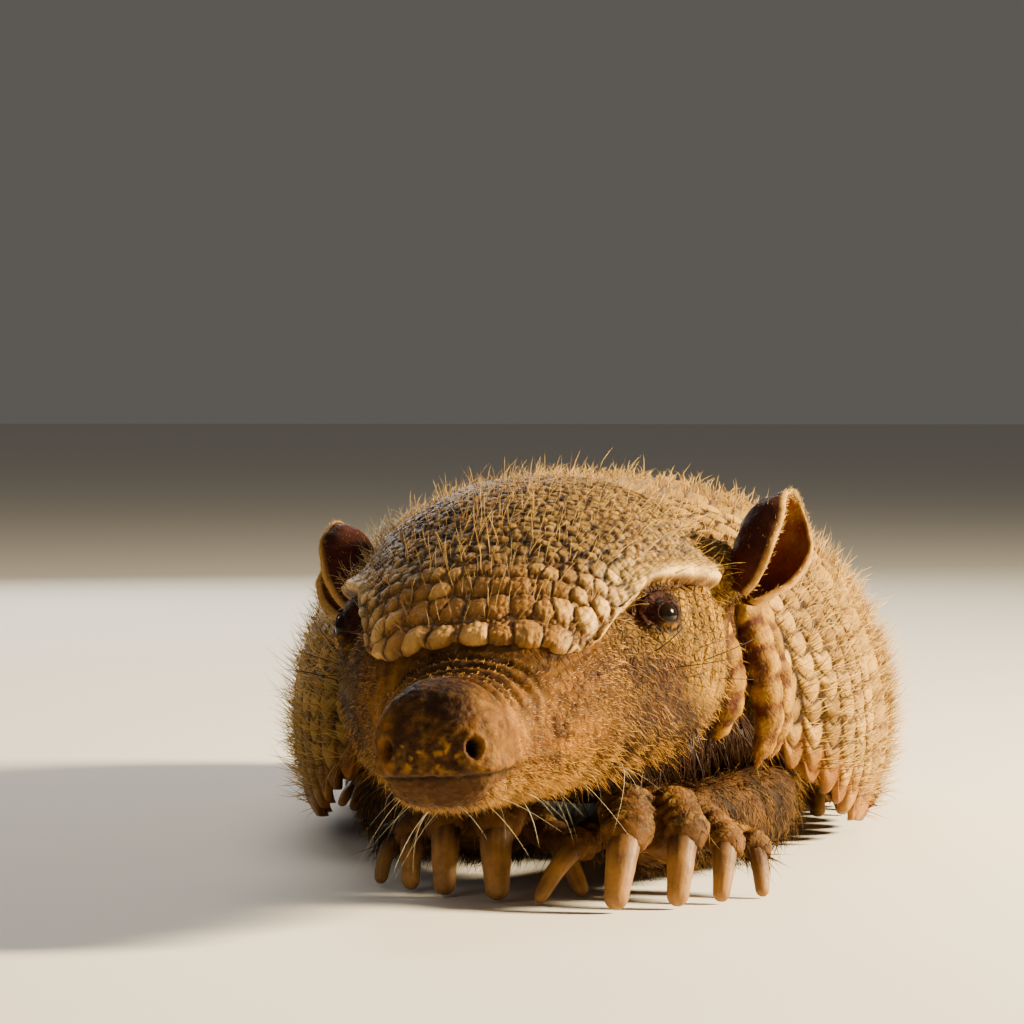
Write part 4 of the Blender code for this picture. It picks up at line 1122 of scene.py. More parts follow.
def lidPart(side):
    # an almond ring: out of the socket, over the ball, round the rim and down to the skin
    middle, along, rise, gaze = nearEye(np.zeros((1, 3)), side)[3:]
    a = wholeTurn(lidColumns)[None, :]
    k = np.array(lidSteps)[:, None]
    px = 2.10 * k * np.sign(np.cos(a)) * np.abs(np.cos(a)) ** 0.92
    py = (1.68 + 0.10 * np.sin(a)) * k * np.sin(a) + 0.15
    held = np.minimum(k, 1.07) / k
    ball = np.sqrt(eye["ball"] ** 2 - (px * held) ** 2 - (py * held) ** 2) - eye["sunk"]
    inFront = ramp(0.5 * np.sin(a) - np.cos(a), 0.0, 0.9)
    high = np.interp(k, (0.84, 0.94, 1.0, 1.07, 1.18, 1.4), (-0.35, 0.0, 0.20, 0.36, 0.42, 0.34))
    high = high - inFront * (0.20 + 0.9 * ramp(k, 1.02, 1.45))
    slope = 0.85 - 0.24 * px - 0.20 * py - 2.4 * bump(px, -5.4, 3.4) * bump(py, 1.0, 3.8)
    share = ramp(k, 1.12, 2.15)
    crease = 0.16 * np.cos(2 * np.pi * (k - 1.16) / 0.34) * ramp(k, 1.16, 1.42)
    pz = (ball + high) * (1 - share) + slope * share + crease
    rings = middle + px[..., None] * along + py[..., None] * rise + pz[..., None] * gaze
    grain = 0.30 * (knobs(rings.reshape(-1, 3), 0.9, 56).reshape(pz.shape) - 0.5)
    grain = ramp(k, 1.05, 1.4) * (grain + 0.2 * cloud(rings, 1.6, 58))
    return closedLoft(rings + grain[..., None] * gaze)


skinParts = []
skinTone = []
skinScaly = []
skinDusty = []


def addSkin(part, tint, scaly, dusty):
    # one more part of the skin, with its colour and its two masks at each vertex
    skinParts.append(part)
    skinTone.append(np.broadcast_to(tint, (len(part[0]), 3)))
    skinScaly.append(np.broadcast_to(scaly, len(part[0])))
    skinDusty.append(np.broadcast_to(dusty, len(part[0])))


def cheekScales(points):
    # 1 on the bare scaly skin round and behind the eye
    s, out, up = headInverse(points)
    wave = 3.0 * cloud(points, 9.0, 14)
    around = ramp(np.abs(out), 17.0, 21.0) * ramp(up + wave, 34.0, 41.0)
    return around * (1 - ramp(s + wave, 52.0, 60.0)) * ramp(s, 4.0, 9.0)


def headTint(points):
    # one colour laid over another by the share that each place asks for
    s, out, up = headInverse(points)
    x = np.abs(out)
    n = cloud(points, 7.0, 15)
    tint = mix(srgb("face"), srgb("faceDark"), 0.45 + 0.4 * n + 0.5 * cloud(points, 3.2, 65))
    # painted shade: darker low on the head and under the jaw
    tint = mix(tint, srgb("faceDark"), 0.6 * (1 - ramp(up, 26.0, 36.0)) * (1 - ramp(s, 66, 74)))
    tint = mix(tint, srgb("snout"), ramp(s, 52.0, 66.0) * (0.55 + 0.4 * n + 0.5 * cloud(points, 1.6, 26)))
    tint = mix(tint, srgb("faceDark"), 0.65 * ramp(s, 62.0, 67.0) * ramp(up - 0.4 * x, 34.0, 40.0))
    # the nose pad, the grooves behind it and painted glints between the nostrils: pale specks that stand for
    # light caught on wet skin
    arch = snoutArch(s, x, up)
    over = 0.2 + 0.8 * ramp(up - 0.25 * x, 32.0, 37.5)
    groove = sum(bump(arch, middle, 0.9) for middle in nose["arches"])
    tint = mix(tint, srgb("nose"), ramp(s + 1.5 * cloud(points, 5.0, 61), 79.0, 84.0))
    wing = 0.55 * ramp(s, 79.0, 83.0) * ramp(x, 5.0, 9.0)
    tint = mix(tint, srgb("snout"), wing * (0.7 + 0.6 * cloud(points, 1.3, 64)))
    # painted shade: the grooves that arch over the snout are darkened
    tint = mix(tint, srgb("nose") * 0.45, 0.75 * over * groove)
    tint = mix(tint, srgb("snout"), 0.14 * ramp(s, 80.0, 84.0) * ramp(cloud(points, 1.6, 62), 0.1, 0.6))
    # painted highlight: specks of glint between the nostrils
    paintedGlint = ramp(s, 86.0, 89.0) * bump(x, 3.0, 2.4) * bump(up, 30.4, 2.6)
    tint = mix(tint, srgb("furTip"), 0.48 * paintedGlint * ramp(cloud(points, 0.8, 67), 0.15, 0.5))
    # the lips and the line between them, the bare cheek, and painted shade in its creases
    tint = mix(tint, srgb("lip"), ramp(s, 70, 80) * (1 - ramp(up, 25.5, 28.5)))
    # painted shade: the line between the lips is darkened
    tint = mix(tint, srgb("lip") * 0.3, ramp(s, 70, 80) * bump(up, mouthLevel(s), 0.5))
    tint = mix(tint, srgb("fold") * 0.8, cheekScales(points) * (0.30 + 0.45 * n))
    mask, crease = cheekFolds(points)
    tint = mix(tint, srgb("fold"), mask * (0.72 + 0.35 * n))
    # painted shade in the creases behind the eye
    tint = mix(tint, srgb("foldDeep"), 0.80 * crease)
    # dark lids, a pale line under them, painted shade in the hollow ahead of the eye, in the crease over it
    # and in the nostrils
    for side in (-1, 1):
        along, rise, gaze = nearEye(points, side)[:3]
        near = byEye(gaze)
        tint = mix(tint, srgb("lid"), near * (1 - ramp(np.hypot(along / 5.0, rise / 4.6), 0.8, 1.15)))
        low = near * bump(np.hypot(along / 4.7, (rise + 0.2) / 4.3), 1.0, 0.17) * (1 - ramp(rise, 0.5, 2.5))
        tint = mix(tint, srgb("fold"), low * (0.55 + 0.6 * cloud(points, 0.9, 54)))
        # painted shade in the hollow ahead of the eye
        hollow = np.clip(1.25 * bump(along, -5.4, 3.3) * bump(rise, 1.2, 4.4), 0, 0.92)
        tint = mix(tint, srgb("socket"), near * hollow)
        # painted shade in the crease over the eye
        line = bump(rise - 0.10 * along, 4.6, 1.2) * ramp(along, -7.0, -3.0) * (1 - ramp(along, 12.0, 17.0))
        tint = mix(tint, srgb("socket") * 0.7, near * 0.92 * line)
        # painted shade inside the nostrils
        pit = np.linalg.norm(points - nostrilPlace(side), axis=1)
        tint = mix(tint, srgb("nose") * 0.22, 1 - ramp(pit, 1.2, 2.2))
    # painted shade: darker between the folds on the flanks of the neck
    flank, wave = neckWave(points, s, x, up)
    flank = flank * (1 - ramp(s, 8.0, 14.0))
    ridge = bump(wave, -9.6, 2.4) + bump(wave, -1.4, 2.1) + 0.6 * bump(wave, 5.0, 1.8)
    tint = mix(tint, srgb("fold"), flank * np.clip(ridge, 0, 1))
    tint = mix(tint, srgb("foldDeep"), 0.8 * flank * (1 - np.clip(1.4 * ridge, 0, 1)))
    return tint * (0.92 + 0.16 * cloud(points, 2.2, 16))[:, None]


# fine mesh before the relief, in mm, and the share of its triangles that the finished head keeps
fleshMesh = {"headVoxel": 0.42, "limbVoxel": 0.45, "headKept": 0.175}
earStalk = ((14, 24, 53), (13.5, 30, 54.5), (13, 35.0, 56.0))
draft = [closedLoft(neckRings()), closedLoft(headRings())]
for side in (-1, 1):
    path = [headPlace(ahead, side * out, up) for ahead, out, up in earStalk]
    draft.append(closedLoft(ringTube(path, [8.0, 7.4, 4.8], 30)))
part = modified(joined(draft), "REMESH", mode="VOXEL", voxel_size=fleshMesh["headVoxel"] * mm)
points = smoothed(part[0], part[2], 3)
points = headRelief(points, triNormals(points, part[2]))
points = smoothed(points, part[2], 1, 0.3)
headPart = modified((points, part[1], part[2]), "DECIMATE", ratio=fleshMesh["headKept"])
s, out, up = headInverse(headPart[0])
pad = ramp(s, 80.5, 83.0)
neckScaly = ramp(np.abs(out), 19.0, 25.0) * (1 - ramp(s, 4.0, 9.0))
snoutRidge = ramp(s, 65.0, 68.0) * ramp(up - 0.25 * np.abs(out), 31.0, 35.0)
snoutScaly = 0.30 * ramp(s, 52.0, 62.0) * (1 - ramp(s, 79.0, 82.0)) * (1 - snoutRidge)
scaly = np.maximum.reduce([neckScaly, 0.15 * pad, snoutScaly, cheekScales(headPart[0])])
addSkin(headPart, headTint(headPart[0]), scaly, 0.25)
stage(f"head skin, {len(headPart[2])} triangles")

# feet and legs; the last entry of each row is a direction that its leg isn't parallel to
feet = (("forefoot", foreFoot, (0, 0, 1)), ("hindfoot", hindFoot, (1, 0, 0)))
limbParts = []
for kind, foot, hint in feet:
    for side in (-1, 1):
        draft = joined(footParts(foot, side, hint))
        part = modified(draft, "REMESH", mode="VOXEL", voxel_size=fleshMesh["limbVoxel"] * mm)
        points = smoothed(part[0], part[2], 4)
        points = toeRelief(points, triNormals(points, part[2]), foot, side)[0]
        points[:, 2] = np.maximum(points[:, 2], 0.1)
        part = modified((points, part[1], part[2]), "DECIMATE", ratio=foot["kept"])
        points = part[0]
        scaly, knob = toeRelief(points, np.zeros_like(points), foot, side)[1:]
        # darker between the scales and up the leg, and painted shade near the floor
        dark = 0.25 + 0.40 * cloud(points, 5.0, 17) + 0.35 * (1 - knob) * (0.4 + 0.6 * scaly)
        dark = dark + 0.5 * (1 - ramp(points[:, 2], 0.5, 4.0))
        wrist = foot["left"][0][1]
        tint = mix(srgb("foot"), srgb("footDark"), dark + 0.5 * ramp(points[:, 1], wrist - 2, wrist + 8))
        addSkin(part, tint * (0.9 + 0.2 * cloud(points, 2.0, 18))[:, None], 0.35 * scaly, 0.9 * scaly)
        limbParts.append((foot, side, part))
stage("limb skin")

# trunk under the shell, its belly kept off the floor
a = np.linspace(-np.pi, np.pi, 90, endpoint=False)[None, :]
trunkShares = np.concatenate([np.linspace(0, 0.96, 40), [1.0]])[:, None]
rings = shellPoint(trunkShares, a, 3.9, -9.0)
rings[..., 2] = np.maximum(rings[..., 2], 1.0)
rings[..., 2] += (rings[..., 2] < 22) * 0.8 * cloud(rings, 8.0, 19)
endRing = np.stack([11 * np.sin(a), np.full(a.shape, 104.0), 14 + 11 * np.cos(a)], -1)
trunkPart = closedLoft(np.concatenate([rings, endRing]))
tint = mix(srgb("belly"), srgb("faceDark"), 0.5 + 0.5 * cloud(trunkPart[0], 9.0, 20))
addSkin(trunkPart, tint, 0.6, 0.3)

grid, furrow = tailGrid()
tailPart = closedLoft(grid)
tint = mix(srgb("tail"), srgb("scuteDark"), np.concatenate([0.8 * furrow.ravel(), [0.5, 0.5]]))
addSkin(tailPart, tint * (0.9 + 0.25 * cloud(tailPart[0], 5.0, 21))[:, None], 0.0, 0.8)

# ears, neck folds and lids
earParts = []
foldParts = []
for side in (-1, 1):
    part, gap, high = earPart(side)
    rim = 1 - ramp(gap, 0.5, 1.5)
    isInner = np.arange(len(gap)) >= len(gap) // 2
    tint = np.where(isInner[:, None], srgb("earInner"), srgb("earOuter"))
    # painted shade: darker deep inside the ear, towards its root
    tint = mix(tint, srgb("faceDark"), isInner * 0.8 * (1 - ramp(high, 0.05, 0.50)))
    pale = isInner * ramp(high, 0.45, 0.90) * (0.25 + 0.6 * cloud(part[0], 2.4, 34))
    tint = mix(tint, srgb("fold"), pale)
    tint = mix(tint, srgb("faceDark"), ~isInner * (0.20 + 0.4 * cloud(part[0], 3.0, 35)))
    tint = mix(tint, srgb("earRim"), 0.85 * rim)
    tint = tint * (0.9 + 0.22 * cloud(part[0], 2.0, 22))[:, None]
    addSkin(part, tint, 0.0, 0.4 * rim)
    earParts.append((part, gap))
    for roll in neckRolls:
        fold, tint = rollPart(side, roll)
        addSkin(fold, tint, 0.30, 0.5)
        foldParts.append(fold)
    part = lidPart(side)
    k = np.append(np.repeat(lidSteps, lidColumns), [0.8, 2.4])
    along, rise = nearEye(part[0], side)[:2]
    # painted shade: the lid is darkest where it turns down into the socket, and over its upper front edge
    tint = mix(srgb("socket") * 0.5, srgb("lid"), ramp(k, 1.05, 1.3))
    shade = ramp(0.5 * rise - along, 0.0, 1.8) * ramp(k, 1.02, 1.2)
    tint = mix(tint, srgb("socket") * 0.8, 0.92 * shade)
    pale = (1 - shade) * ramp(k, 1.10, 1.3) * ramp(-rise - 0.3 * along, 0.0, 1.6)
    tint = mix(tint, srgb("fold") * 0.8, pale * (0.40 + 0.6 * cloud(part[0], 0.9, 54)))
    addSkin(part, mix(tint, headTint(part[0]), ramp(k, 1.4, 1.95) * (1 - 0.6 * shade)), 0.3, 0.0)

flesh = ["head", "lower_jaw", "nose", "neck", "trunk", "tail_base", "tail_middle", "tail_end"]
for limb in ("ear", "foreleg", "forefoot", "hindleg", "hindfoot"):
    flesh += [f"{limb}_left", f"{limb}_right"]
skin = joined(skinParts)
masks = {"scaly": np.concatenate(skinScaly), "dusty": np.concatenate(skinDusty)}
makePiece("skin", skin, np.concatenate(skinTone), masks, skinMaterial, "skin", *flesh)
stage(f"skin, {len(skin[1]) * 2 + len(skin[2])} triangles")


# Head shield and nape

headShield = {
    # ahead of the nape: angle from the crown at which the shield ends
    "reach": ((2.5, 64.0), (12.0, 68.0), (22.0, 70.0), (34.0, 62.0), (42.0, 55.5), (52.0, 56.5),
              (62.0, 61.5), (67.0, 62.5)),
    "rear": 2.5,
    "front": 66.5,
    "frontBow": 3.4,
    "corner": 5.0,
    "thick": 1.6,
    # ahead of the nape: width of a scute, height of its dome
    "scutes": ((0.0, 2.2, 0.20), (20.0, 1.7, 0.15), (40.0, 1.8, 0.18), (48.0, 2.3, 0.33), (55.0, 3.5, 0.60),
               (61.0, 4.6, 0.75), (64.0, 5.2, 0.85)),
    "edgeScute": 4.4,     # length of a scute of the row along each side
    "scallop": 1.1,       # depth of the notches between the scutes of the front edge
}


def seedScutes(place, seeds):
    # nearest and second nearest seed: number of the cell, distance to its middle and to its edge
    flat = place.reshape(-1, 2)
    first = np.empty(len(flat), int)
    near, edge = np.empty(len(flat)), np.empty(len(flat))
    for start in range(0, len(flat), 8000):
        some = slice(start, start + 8000)
        gap = np.linalg.norm(flat[some, None] - seeds[None], axis=2)
        two = np.argpartition(gap, 1, axis=1)[:, :2]
        pair = np.take_along_axis(gap, two, 1)
        order = np.argsort(pair, axis=1)
        two, pair = np.take_along_axis(two, order, 1), np.take_along_axis(pair, order, 1)
        apart = np.linalg.norm(seeds[two[:, 0]] - seeds[two[:, 1]], axis=1)
        first[some] = two[:, 0]
        near[some] = pair[:, 0]
        edge[some] = (pair[:, 1] ** 2 - pair[:, 0] ** 2) / (2 * apart)
    return (values.reshape(place.shape[:2]) for values in (first, near, edge))


def makeHeadShield():
    # a grid over the crown; each point rises with the dome of the scute whose seed is nearest to it,
    # and the sides rise over the brows
    rows, columns = 300, 316
    t = np.linspace(0, 1, rows)
    v = np.linspace(-1, 1, columns)

    def lay(cut):
        # rows from the rear to a front edge moved back by cut: s, the grid, and lengths across and ahead
        s = headShield["rear"] + (headShield["front"] - cut - headShield["rear"]) * t[:, None]
        grid = headPoint(s, v[None, :] * np.radians(np.interp(s, *np.array(headShield["reach"]).T)))
        arc = travelled(grid, 1)
        return s, grid, arc - arc[:, columns // 2][:, None], travelled(grid)

    cut = headShield["frontBow"] * v[None, :] ** 2 + headShield["corner"] * v[None, :] ** 8
    s, grid, arc, aheadAll = lay(cut)
    ahead = aheadAll[:, columns // 2]
    # rows of seeds, shifted by half in every other row, between a row along each side
    rng = np.random.default_rng(5)
    seeds, wide, high = [], [], []
    at, number = headShield["front"] - 2.2, 0
    while at > 3.0:
        width, height = (float(np.interp(at, *np.array(headShield["scutes"])[:, [0, c]].T)) for c in (1, 2))
        nearest = int(np.argmin(np.abs(s[:, columns // 2] - at)))
        inside = min(headShield["edgeScute"] * 0.95, 0.75 * width + 1.2) if number else 1.4
        span = arc[nearest, -1] - arc[nearest, 0] - 2 * inside
        count = max(int(round(span / width)) + number % 2, 3)
        x = (np.arange(count) - (count - 1) / 2) * span / (count - 0.4)
        # the rows bow as the front edge does
        bow = -headShield["frontBow"] * (x / (span / 2)) ** 2 * at / headShield["front"]
        loose = 0.16 + 0.16 * (at < 52)
        y = ahead[nearest] + bow + rng.normal(0, loose * width, count)
        x = x + rng.normal(0, (loose if number else 0.10) * width, count)
        seeds.append(np.stack([x, y], -1))
        wide += list(width * rng.uniform(0.72, 1.15, count))
        high += [height] * count
        at, number = at - 0.93 * width, number + 1
    # the front edge runs round the scutes of the first row
    first = np.sort(seeds[0][:, 0])
    aside = np.abs(arc[-1][:, None] - first[None]).min(1) / (0.5 * np.diff(first).mean())
    cut = cut + headShield["scallop"] * (1 - np.sqrt(1 - np.clip(aside, 0, 0.98) ** 2))
    s, grid, arc, aheadAll = lay(cut)
    place = np.stack([arc, np.broadcast_to(ahead[:, None], arc.shape) * aheadAll[-1] / ahead[-1]], -1)
    edgeAt = np.arange(2.0, ahead[-1] - 7.0, headShield["edgeScute"])
    for side in (0, -1):
        x = np.interp(edgeAt, ahead, arc[:, side]) - (2 * side + 1) * -1.9
        seeds.append(np.stack([x, edgeAt + rng.normal(0, 0.3, len(x))], -1))
        wide += [headShield["edgeScute"]] * len(x)
        high += [0.75] * len(x)
    seeds, wide, high = np.concatenate(seeds), np.array(wide), np.array(high)
    cell, near, edge = seedScutes(place, seeds)
    tone = rng.random(len(seeds))[cell]
    body = ramp(edge, 0.0, 0.12 + 0.05 * wide[cell])
    dome = np.clip(1 - (near / (0.62 * wide[cell])) ** 2.6, 0, 1) ** 0.6 * (0.35 + 0.65 * body)
    grain = knobs(grid.reshape(-1, 3), 1.25, 73).reshape(dome.shape)
    relief = high[cell] * dome * (0.7 + 0.6 * tone) + 0.30 * (grain - 0.5) * (1 - 0.60 * dome)
    body = body * np.maximum(dome, 0.3 + 0.5 * grain)
    side = np.minimum(arc - arc[:, :1], arc[:, -1:] - arc)
    brow = bump(side, 2.4, 2.6) * ramp(s, 6.0, 16.0) * (1 - ramp(s, 38.0, 50.0))
    front = (1 - t[:, None]) * ahead[-1]
    rise = 0.05 + relief * (1 - 0.45 * brow) + 2.0 * brow + 0.16 * cloud(grid, 1.1, 70)
    rise = rise + 0.36 * cloud(grid, 6.0, 71)
    rise = rise - rimDrop(side, 1.7) - rimDrop(front, 1.2) - rimDrop(t[:, None] * ahead[-1], 1.0)
    body = np.maximum(body, brow)
    orange = ramp(s, 46.0, 58.0)
    tint = mix(srgb("crown"), srgb("crownDark"), 0.50 + 0.5 * cloud(grid, 9.0, 72) - 0.5 * (tone - 0.5))
    tint = mix(tint, srgb("frontScute"), 0.7 * orange)
    tint = mix(tint, srgb("scuteDust"), 0.34 * dome**2 * (1 - orange) + 0.26 * dome * tone)
    tint = mix(tint, srgb("crownDark") * 0.6, (0.62 + 0.25 * orange) * (1 - body))
    # pale along the brows; painted highlights on the domes ahead of them and here and there on the front
    # scutes
    pale = np.clip(brow, 0, 1) * (0.62 + 0.35 * cloud(grid, 3.0, 74)) * ramp(side, 0.3, 1.6)
    tint = mix(tint, srgb("brow"), pale)
    tint = mix(tint, srgb("lobe"), 0.55 * brow * (1 - ramp(side, 0.4, 1.4)))
    # painted highlight: pale tops of the domes near the sides of the front half and on some front scutes
    pale = dome * (0.35 + 0.35 * tone) * (1 - ramp(side, 6.0, 12.0)) * ramp(s, 38.0, 50.0)
    tint = mix(tint, srgb("brow"), pale)
    tint = mix(tint, srgb("brow"), 0.22 * dome**2 * orange * ramp(tone, 0.4, 0.9))
    tint = tint * (0.86 + 0.28 * tone)[..., None]
    thick = headShield["thick"] * np.array([0.6, 1.0, 1.0])
    dusty = np.clip(0.6 * body * (1 - orange), 0, 1)
    outer, normal = plateBody("head_plates", "head_shield", grid, rise, thick, tint, dusty, True,
                              crownMaterial)
    back = headTurn(np.broadcast_to(np.array([-1.0, 0, 0]), grid.shape))
    hair = (edge < 0.25) & (side > 1.0) & (front > 2)
    return outer[hair], normal[hair], back[hair]


def makeNeckBand():
    # rows of small scutes on straight lines from the shell's front hoop to the nape: low (1 - k) + high k
    rows, columns = 44, 300
    k = np.linspace(0.86, 0.04, rows)[:, None, None]
    angle = np.radians(np.linspace(-87, 87, columns))[None, :]
    low = shellPoint(0.0, angle, 2.6)
    high = headPoint(0.0, angle, -0.6)
    grid = low * (1 - k) + high * k
    arc = travelled(grid[rows // 2])
    rowAt = travelled(grid) / 4.4
    across = np.broadcast_to(2 * arc / arc[-1] - 1, (rows, columns))
    warp = 0.12 * cloud(grid, 9.0, 75)
    u, w, row, cell = scuteCells(rowAt + warp, across, np.full(12, arc[-1]), 4.2)
    q = squarish(u, w, 2.6)
    body = 1 - ramp(q, 0.45, 1.0)
    tone = hashed(row, cell, 76)
    edge = np.minimum(arc, arc[-1] - arc)[None, :]
    rise = 0.8 * body - 0.5 + 0.15 * cloud(grid, 2.0, 77) - rimDrop(edge, 1.2)
    tint = mix(srgb("fold"), srgb("foldDeep"), 1 - body + 0.3 * cloud(grid, 5.0, 78))
    plateBody("nape_plates", "neck_band", grid, rise, 1.2, tint * (0.8 + 0.3 * tone)[..., None], body)


crownRoots = makeHeadShield()
makeNeckBand()
stage("head shield and nape")


# Claws and eyes

def makeClaw(kind, foot, side, number):
    # a blunt horn carried along a bent path, flatter underneath, with faint ridges along it
    spin, place = footMatrix(foot, side)
    knuckle, root, tip, width, radius = foot["toes"][number]
    knuckle, root = np.array(knuckle), np.array(root)
    tip = np.array([tip[0], tip[1], width * 0.10])
    start = root - unit(root - knuckle) * 1.6
    bend = root + (tip - root) * 0.45 + np.array([0, (tip - root)[1] * 0.18, width * 0.38])
    # a quadratic curve (1 - t)^2 start + 2 t (1 - t) bend + t^2 tip
    t = np.concatenate([np.linspace(0, 0.93, 30), [0.96, 0.98, 0.992, 1.0]])[:, None]
    path = (1 - t) ** 2 * start + 2 * t * (1 - t) * bend + t**2 * tip
    t = t[:, 0]
    size = width / 2 * (1.0 - 0.36 * t**1.4) * roundedEnd(t, 0.90, 0.105, 2, 0.01)
    size = size * (1 - 0.10 * (1 - ramp(t, 0.0, 0.10)))
    rings = ringTube(path, size, 32, 0.84)
    a = wholeTurn(32)[None, :]
    middle = rings.mean(1, keepdims=True)
    under = np.clip(-np.sin(a), 0, 1)
    seed = number + (10 if side > 0 else 0) + (30 if kind == "hindfoot" else 0)
    scale = 1 - 0.34 * under**2 * ramp(t, 0.08, 0.3)[:, None] + 0.018 * np.sin(11 * a + seed)
    scale = scale + 0.035 * cloud(rings, 2.2, 80 + seed)
    rings = middle + (rings - middle) * scale[..., None]
    rings[..., 2] = np.maximum(rings[..., 2], 0.05)
    points, quads, tris = closedLoft(rings @ spin.T + place)
    k = np.concatenate([np.repeat(t, 32), [0, 1]])
    n = cloud(points, 3.0, 81)
    # noise drawn out along the claw
    spots = np.stack(np.broadcast_arrays(8 * np.cos(a), 8 * np.sin(a), 4 * t[:, None]), -1).reshape(-1, 3)
    streak = cloud(np.concatenate([spots, np.zeros((2, 3))]), 1.6, seed)
    tint = mix(srgb("clawRoot"), srgb("clawTip"), ramp(k, 0.05, 0.75) * 0.85 + 0.30 * n + 0.25 * streak)
    tint = mix(tint, srgb("clawDirt"), 0.55 * np.concatenate([np.tile(under[0], len(t)), [1, 0]]))
    tint = mix(tint, srgb("clawDirt") * 0.6, 1 - ramp(k, 0.06, 0.20))
    name = f"{kind}_{'left' if side > 0 else 'right'}_claw_{number + 1}"
    horn = name.replace("claw", "claw_horn")
    makePiece(horn, (points, quads, tris), tint, {"dusty": 1 - 0.5 * k}, clawMaterial, "claw", name)


for kind, foot, hint in feet:
    for side in (-1, 1):
        for number in range(5):
            makeClaw(kind, foot, side, number)


def makeEye(side):
    # a ball of two angles round the gaze, with the cornea swollen a little over the iris
    middle, along, rise, gaze = nearEye(np.zeros((1, 3)), side)[3:]
    down = np.linspace(0.03, np.pi - 0.03, 56)[:, None]
    a = wholeTurn(64)[None, :]
    swell = eye["ball"] + 0.10 * np.exp(-((down / 0.50) ** 2))
    middle = middle - eye["sunk"] * gaze
    x, y, z = np.sin(down) * np.cos(a), np.sin(down) * np.sin(a), np.cos(down) * np.ones_like(a)
    ball = x[..., None] * along + y[..., None] * rise + z[..., None] * gaze
    rings = middle + swell[..., None] * ball
    points, quads, tris = closedLoft(rings)
    angle = np.concatenate([np.repeat(down[:, 0], 64), [0, np.pi]])
    # a pupil, an iris of fine spokes, and a dark edge under the lids
    spoke = 23 * np.concatenate([np.tile(a[0], 56), [0, 0]]) + 3 * cloud(points, 0.8, 82)
    spoke = 0.5 + 0.5 * np.sin(spoke)
    tint = mix(srgb("pupil"), srgb("iris"), ramp(angle, 0.24, 0.30) * (0.5 + 0.5 * spoke))
    tint = mix(tint, srgb("eyeEdge"), ramp(angle, 0.86, 1.05))
    name = "eye_left" if side > 0 else "eye_right"
    makePiece(name + "_ball", (points, quads, tris), tint, None, eyeMaterial, "eye", name)


for side in (-1, 1):
    makeEye(side)
stage("claws and eyes")


# Camera, lights and floor; places in metres, angles in degrees

view = {"place": (0.0413, -0.829, 0.090), "turn": 4.0, "down": 1.77, "lens": 142.2}
camera = bpy.data.objects.new("camera", bpy.data.cameras.new("camera"))
bpy.context.scene.collection.objects.link(camera)
camera.location = view["place"]
camera.rotation_euler = (math.radians(90 - view["down"]), 0, math.radians(view["turn"]))
camera.data.lens = view["lens"]
camera.data.sensor_width = 36.0
camera.data.clip_start = 0.01
bpy.context.scene.camera = camera

lamps = (
    # name, place, size, watts: a low warm sun from its left and three soft lamps that open the shade
    ("key", (0.84, -0.02, 0.40), 0.18, 63.0),
    ("fill", (-0.45, -0.85, 0.40), 0.80, 1.5),
    ("top", (0.05, 0.20, 0.95), 0.60, 3.0),
    ("back", (-0.30, 0.85, 0.45), 0.60, 5.0),
)
aim = Vector((0.0, 0.0, 0.03))
for name, place, size, watts in lamps:
    lamp = bpy.data.lights.new(name, "AREA")
    lamp.shape = "DISK"
    lamp.size = size
    lamp.energy = watts
    lamp.color = srgb(name + "Light")
    lampObject = bpy.data.objects.new(name, lamp)
    lampObject.location = place
    lampObject.rotation_euler = (aim - Vector(place)).to_track_quat("-Z", "Y").to_euler()
    bpy.context.scene.collection.objects.link(lampObject)

world = bpy.data.worlds.new("studio")
bpy.context.scene.world = world
world.use_nodes = True
background = world.node_tree.nodes["Background"]
background.inputs["Color"].default_value = (*srgb("sky"), 1.0)
background.inputs["Strength"].default_value = 0.12

floorMesh = bpy.data.meshes.new("floor")
floorMesh.from_pydata([(-6, -3, 0), (6, -3, 0), (6, 9, 0), (-6, 9, 0)], [], [(0, 1, 2, 3)])
floor = bpy.data.objects.new("floor", floorMesh)
bpy.context.scene.collection.objects.link(floor)
# matt painted board: plain and pale, so that it only takes the animal's shadow
boardMaterial = newMaterial("painted_board", Base_Color=(*srgb("floor"), 1.0), Roughness=0.85)[0]
floorMesh.materials.append(boardMaterial)
stage("camera, lights and floor")


# Coat

hairTaper = 0.6         # a hair narrows as (1 - t)^0.6
rootDepth = 0.35        # roots start inside the skin
patch = {"wide": 0.0015, "tall": 0.003, "edge": 0.002, "middle": 25.0}   # a hair's place on the UV map


def triCorners(part):
    # the points of a part, with each quad cut into (0, 1, 2) and (0, 2, 3)
    points, quads, tris = part
    return points, np.concatenate([quads[:, [0, 1, 2]], quads[:, [0, 2, 3]], tris])


def sampleRoots(part, density, count, rng):
    # random points on a skin, in proportion to the area times the density of the coat there
    points, tris = triCorners(part)
    normals = triNormals(points, tris)
    a, b, c = (points[tris[:, k]] for k in range(3))
    weight = np.linalg.norm(np.cross(b - a, c - a), axis=1) * np.clip(density((a + b + c) / 3), 0, 1)
    chosen = tris[rng.choice(len(tris), count, p=weight / weight.sum())]
    u, v = rng.random((2, count))
    u, v = np.where(u + v > 1, 1 - u, u), np.where(u + v > 1, 1 - v, v)
    share = np.stack([1 - u - v, u, v], -1)[..., None]
    return (points[chosen] * share).sum(1), unit((normals[chosen] * share).sum(1))


def spikeFaces(count, rings):
    # rings of three corners joined by quads, three triangles to the tip and one over the root
    per = 3 * rings + 1
    quads, tris = [], [(0, 2, 1)]
    for ring in range(rings):
        for corner in range(3):
            low, beside = 3 * ring + corner, 3 * ring + (corner + 1) % 3
            if ring < rings - 1:
                quads.append((low, beside, beside + 3, low + 3))
            else:
                tris.append((low, beside, per - 1))
    base = np.arange(count)[:, None, None] * per
    quads = (np.array(quads, int).reshape(1, -1, 4) + base).reshape(-1, 4)
    return quads, (np.array(tris)[None] + base).reshape(-1, 3)


